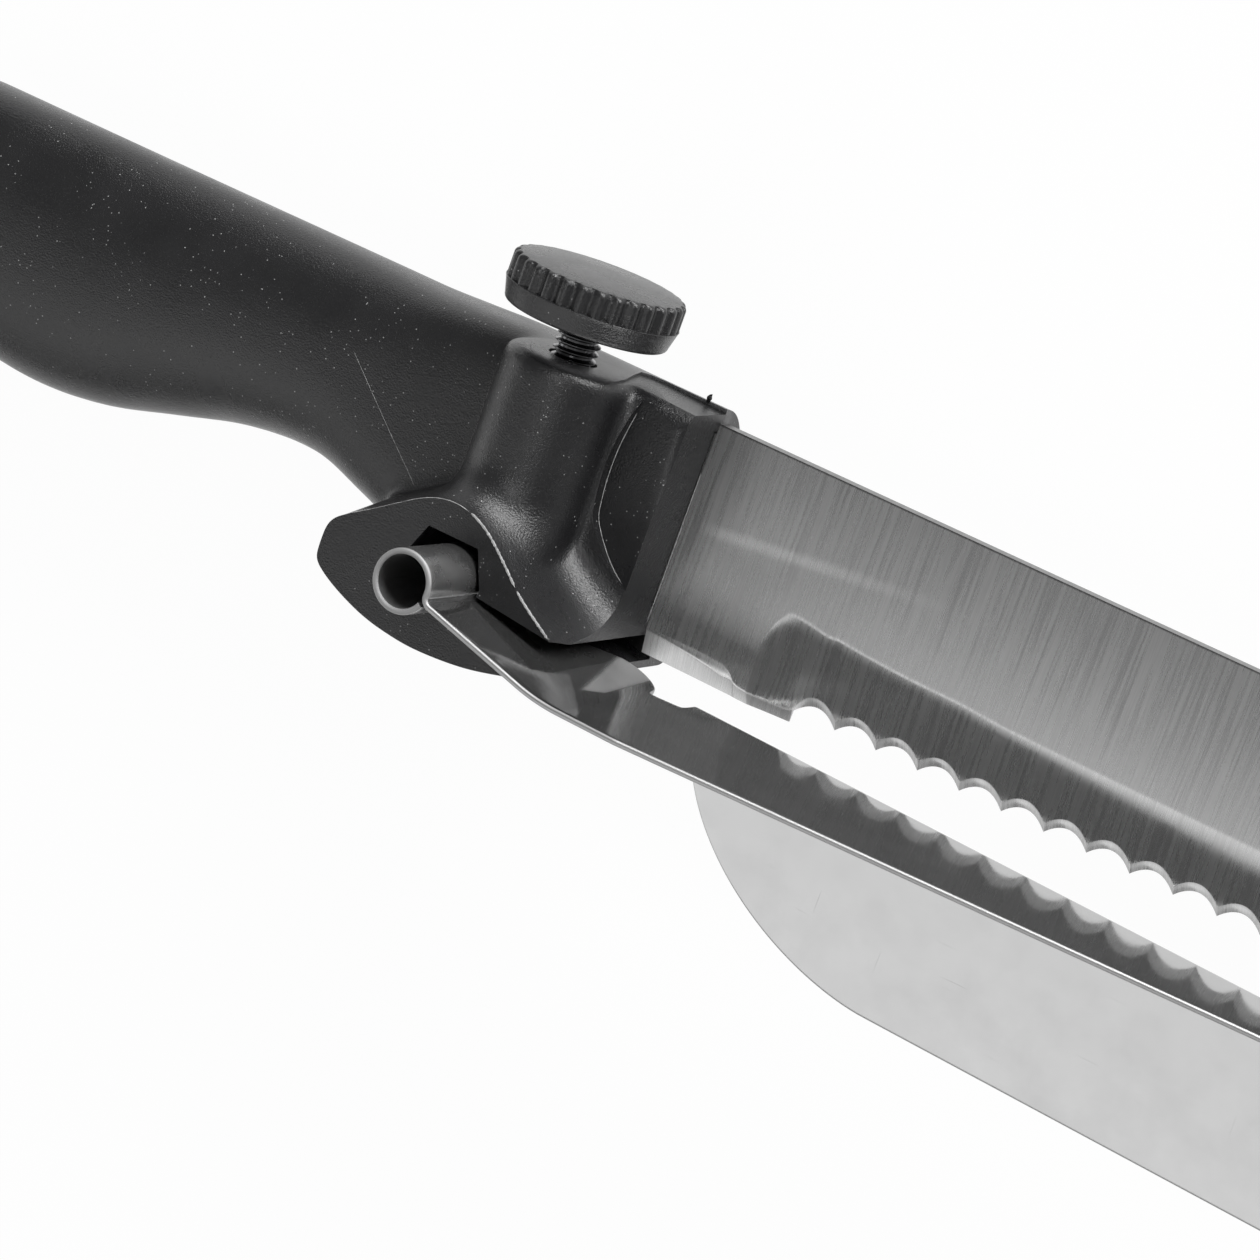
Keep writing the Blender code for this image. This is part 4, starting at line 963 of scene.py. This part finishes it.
seams = [knob.edges.new(pair) for pair in zip(section, section[1:])]
bmesh.ops.spin(knob, geom=section + seams, axis=(0.0, 1.0, 0.0), cent=(0.0, 0.0, 0.0), steps=RIBS * 12,
               angle=2.0 * math.pi, use_merge=True, use_duplicate=False)
bmesh.ops.remove_doubles(knob, verts=knob.verts, dist=0.001)
for vert in knob.verts:
    reach = math.hypot(vert.co.x, vert.co.z)
    if vert.co.y > RIB_FOOT - 0.01 and reach > RIB_RADIUS - TOP_ROUNDING:
        turn = RIBS * math.atan2(vert.co.z, vert.co.x)
        valley = (0.5 - 0.5 * math.cos(turn)) ** 1.3
        run_out = ramp(reach, RIB_RADIUS - TOP_ROUNDING, RIB_RADIUS - 0.2)
        drawn_in = 1.0 - RIB_DEPTH * valley * run_out / reach
        vert.co.x *= drawn_in
        vert.co.z *= drawn_in
bmesh.ops.recalc_face_normals(knob, faces=knob.faces)
bmesh.ops.translate(knob, verts=knob.verts, vec=(SCREW_X, 0.0, SCREW_Z))
placed(knob, "clamp_knob_ribbed", moulded_plastic("polypropylene_knob", ("171718", "1f1f20")), "knob",
       "clamp_knob", sharp=35.0)

# Floor: a sheet of white paper under the knife. The camera and the polished steel see it glow almost
# evenly, as an overexposed backdrop does, and the rest of it is lit, which leaves a faint shadow.
GLOW = 0.96
floor_bm = bmesh.new()
bmesh.ops.create_grid(floor_bm, x_segments=1, y_segments=1, size=30.0)
floor_mesh = bpy.data.meshes.new("floor")
floor_bm.to_mesh(floor_mesh)
floor_bm.free()
floor = bpy.data.objects.new("floor", floor_mesh)
bpy.context.scene.collection.objects.link(floor)
material, tree, shader, where = new_material("white_paper")
feed(tree, shader, {"Base Color": colour("f4f4f4"), "Roughness": 0.9})
ray = add(tree, "LightPath", {}).outputs
seen = add(tree, "Math", {0: ray["Is Camera Ray"], 1: ray["Is Glossy Ray"]}, operation="MAXIMUM")
share = add(tree, "Math", {0: seen, 1: GLOW}, operation="MULTIPLY")
white = add(tree, "Emission", {"Color": (1.0, 1.0, 1.0, 1.0), "Strength": 1.0})
mixed = add(tree, "MixShader", {0: share, 1: shader, 2: white})
feed(tree, tree.nodes["Material Output"], {"Surface": mixed})
floor_mesh.materials.append(material)

# Lights: a wide soft box on the edge's side, which the fence and the lower blade reflect, a smaller and
# brighter one over the spine for the handle's rounded edges, a weak one behind the grip, and a small one
# near the camera that is linked to light only the handle and knob. The room is grey.
ROOM_LEVEL = 0.24


def soft_box(name, centre, facing, size, radiance):
    """A rectangular light, placed in metres from the datum, that the camera doesn't see."""
    light = bpy.data.lights.new(name, "AREA")
    light.shape = "RECTANGLE"
    light.size, light.size_y = size
    light.energy = radiance * math.pi * size[0] * size[1]
    lamp = bpy.data.objects.new(name, light)
    bpy.context.scene.collection.objects.link(lamp)
    behind = -Vector(facing).normalized()
    side = Vector((1.0, 0.0, 0.0)) if abs(behind.x) < 0.8 else Vector((0.0, 1.0, 0.0))
    side = (side - behind * side.dot(behind)).normalized()
    lamp.matrix_world = Matrix((side, behind.cross(side), behind)).transposed().to_4x4()
    lamp.location = DATUM + Vector(centre)
    lamp.visible_camera = False
    return lamp


soft_box("wide_box", (-0.35, -0.60, 0.68), (0.0, 0.535, -0.845), (1.5, 0.84), 1.1)
soft_box("spine_box", (0.38, 0.84, 0.25), (-0.38, -0.84, -0.25), (1.25, 0.34), 13.0)
soft_box("side_box", (-1.15, -0.22, 0.20), (1.15, 0.22, -0.20), (0.6, 0.5), 1.6)
front_box = soft_box("front_box", (0.2, 0.24, 0.96), (-0.2, -0.24, -0.96), (0.34, 0.22), 9.0)
on_handle = bpy.data.collections.new("on_handle")
for name in ("handle_moulding", "clamp_knob_ribbed"):
    on_handle.objects.link(bpy.data.objects[name])
front_box.light_linking.receiver_collection = on_handle
world = bpy.data.worlds.new("room")
world.use_nodes = True
bpy.context.scene.world = world
world.node_tree.nodes["Background"].inputs["Color"].default_value = (1.0, 1.0, 1.0, 1.0)
world.node_tree.nodes["Background"].inputs["Strength"].default_value = ROOM_LEVEL

# Camera at the photograph's angle, given by its right, its up and the way back from what it sees
CAMERA_AXES = Matrix(((0.8251, 0.3318, -0.4573), (-0.4008, 0.9142, -0.0596), (0.3983, 0.2325, 0.8873)))
camera = bpy.data.cameras.new("camera")
camera.sensor_width = 36.0
camera.lens = 139.5
camera.clip_start = 0.05
viewer = bpy.data.objects.new("camera", camera)
bpy.context.scene.collection.objects.link(viewer)
viewer.location = (0.26959, 0.13337, 0.57563)
viewer.rotation_mode = "QUATERNION"
viewer.rotation_quaternion = CAMERA_AXES.transposed().to_quaternion()
bpy.context.scene.camera = viewer
bpy.context.scene.view_settings.view_transform = "Standard"
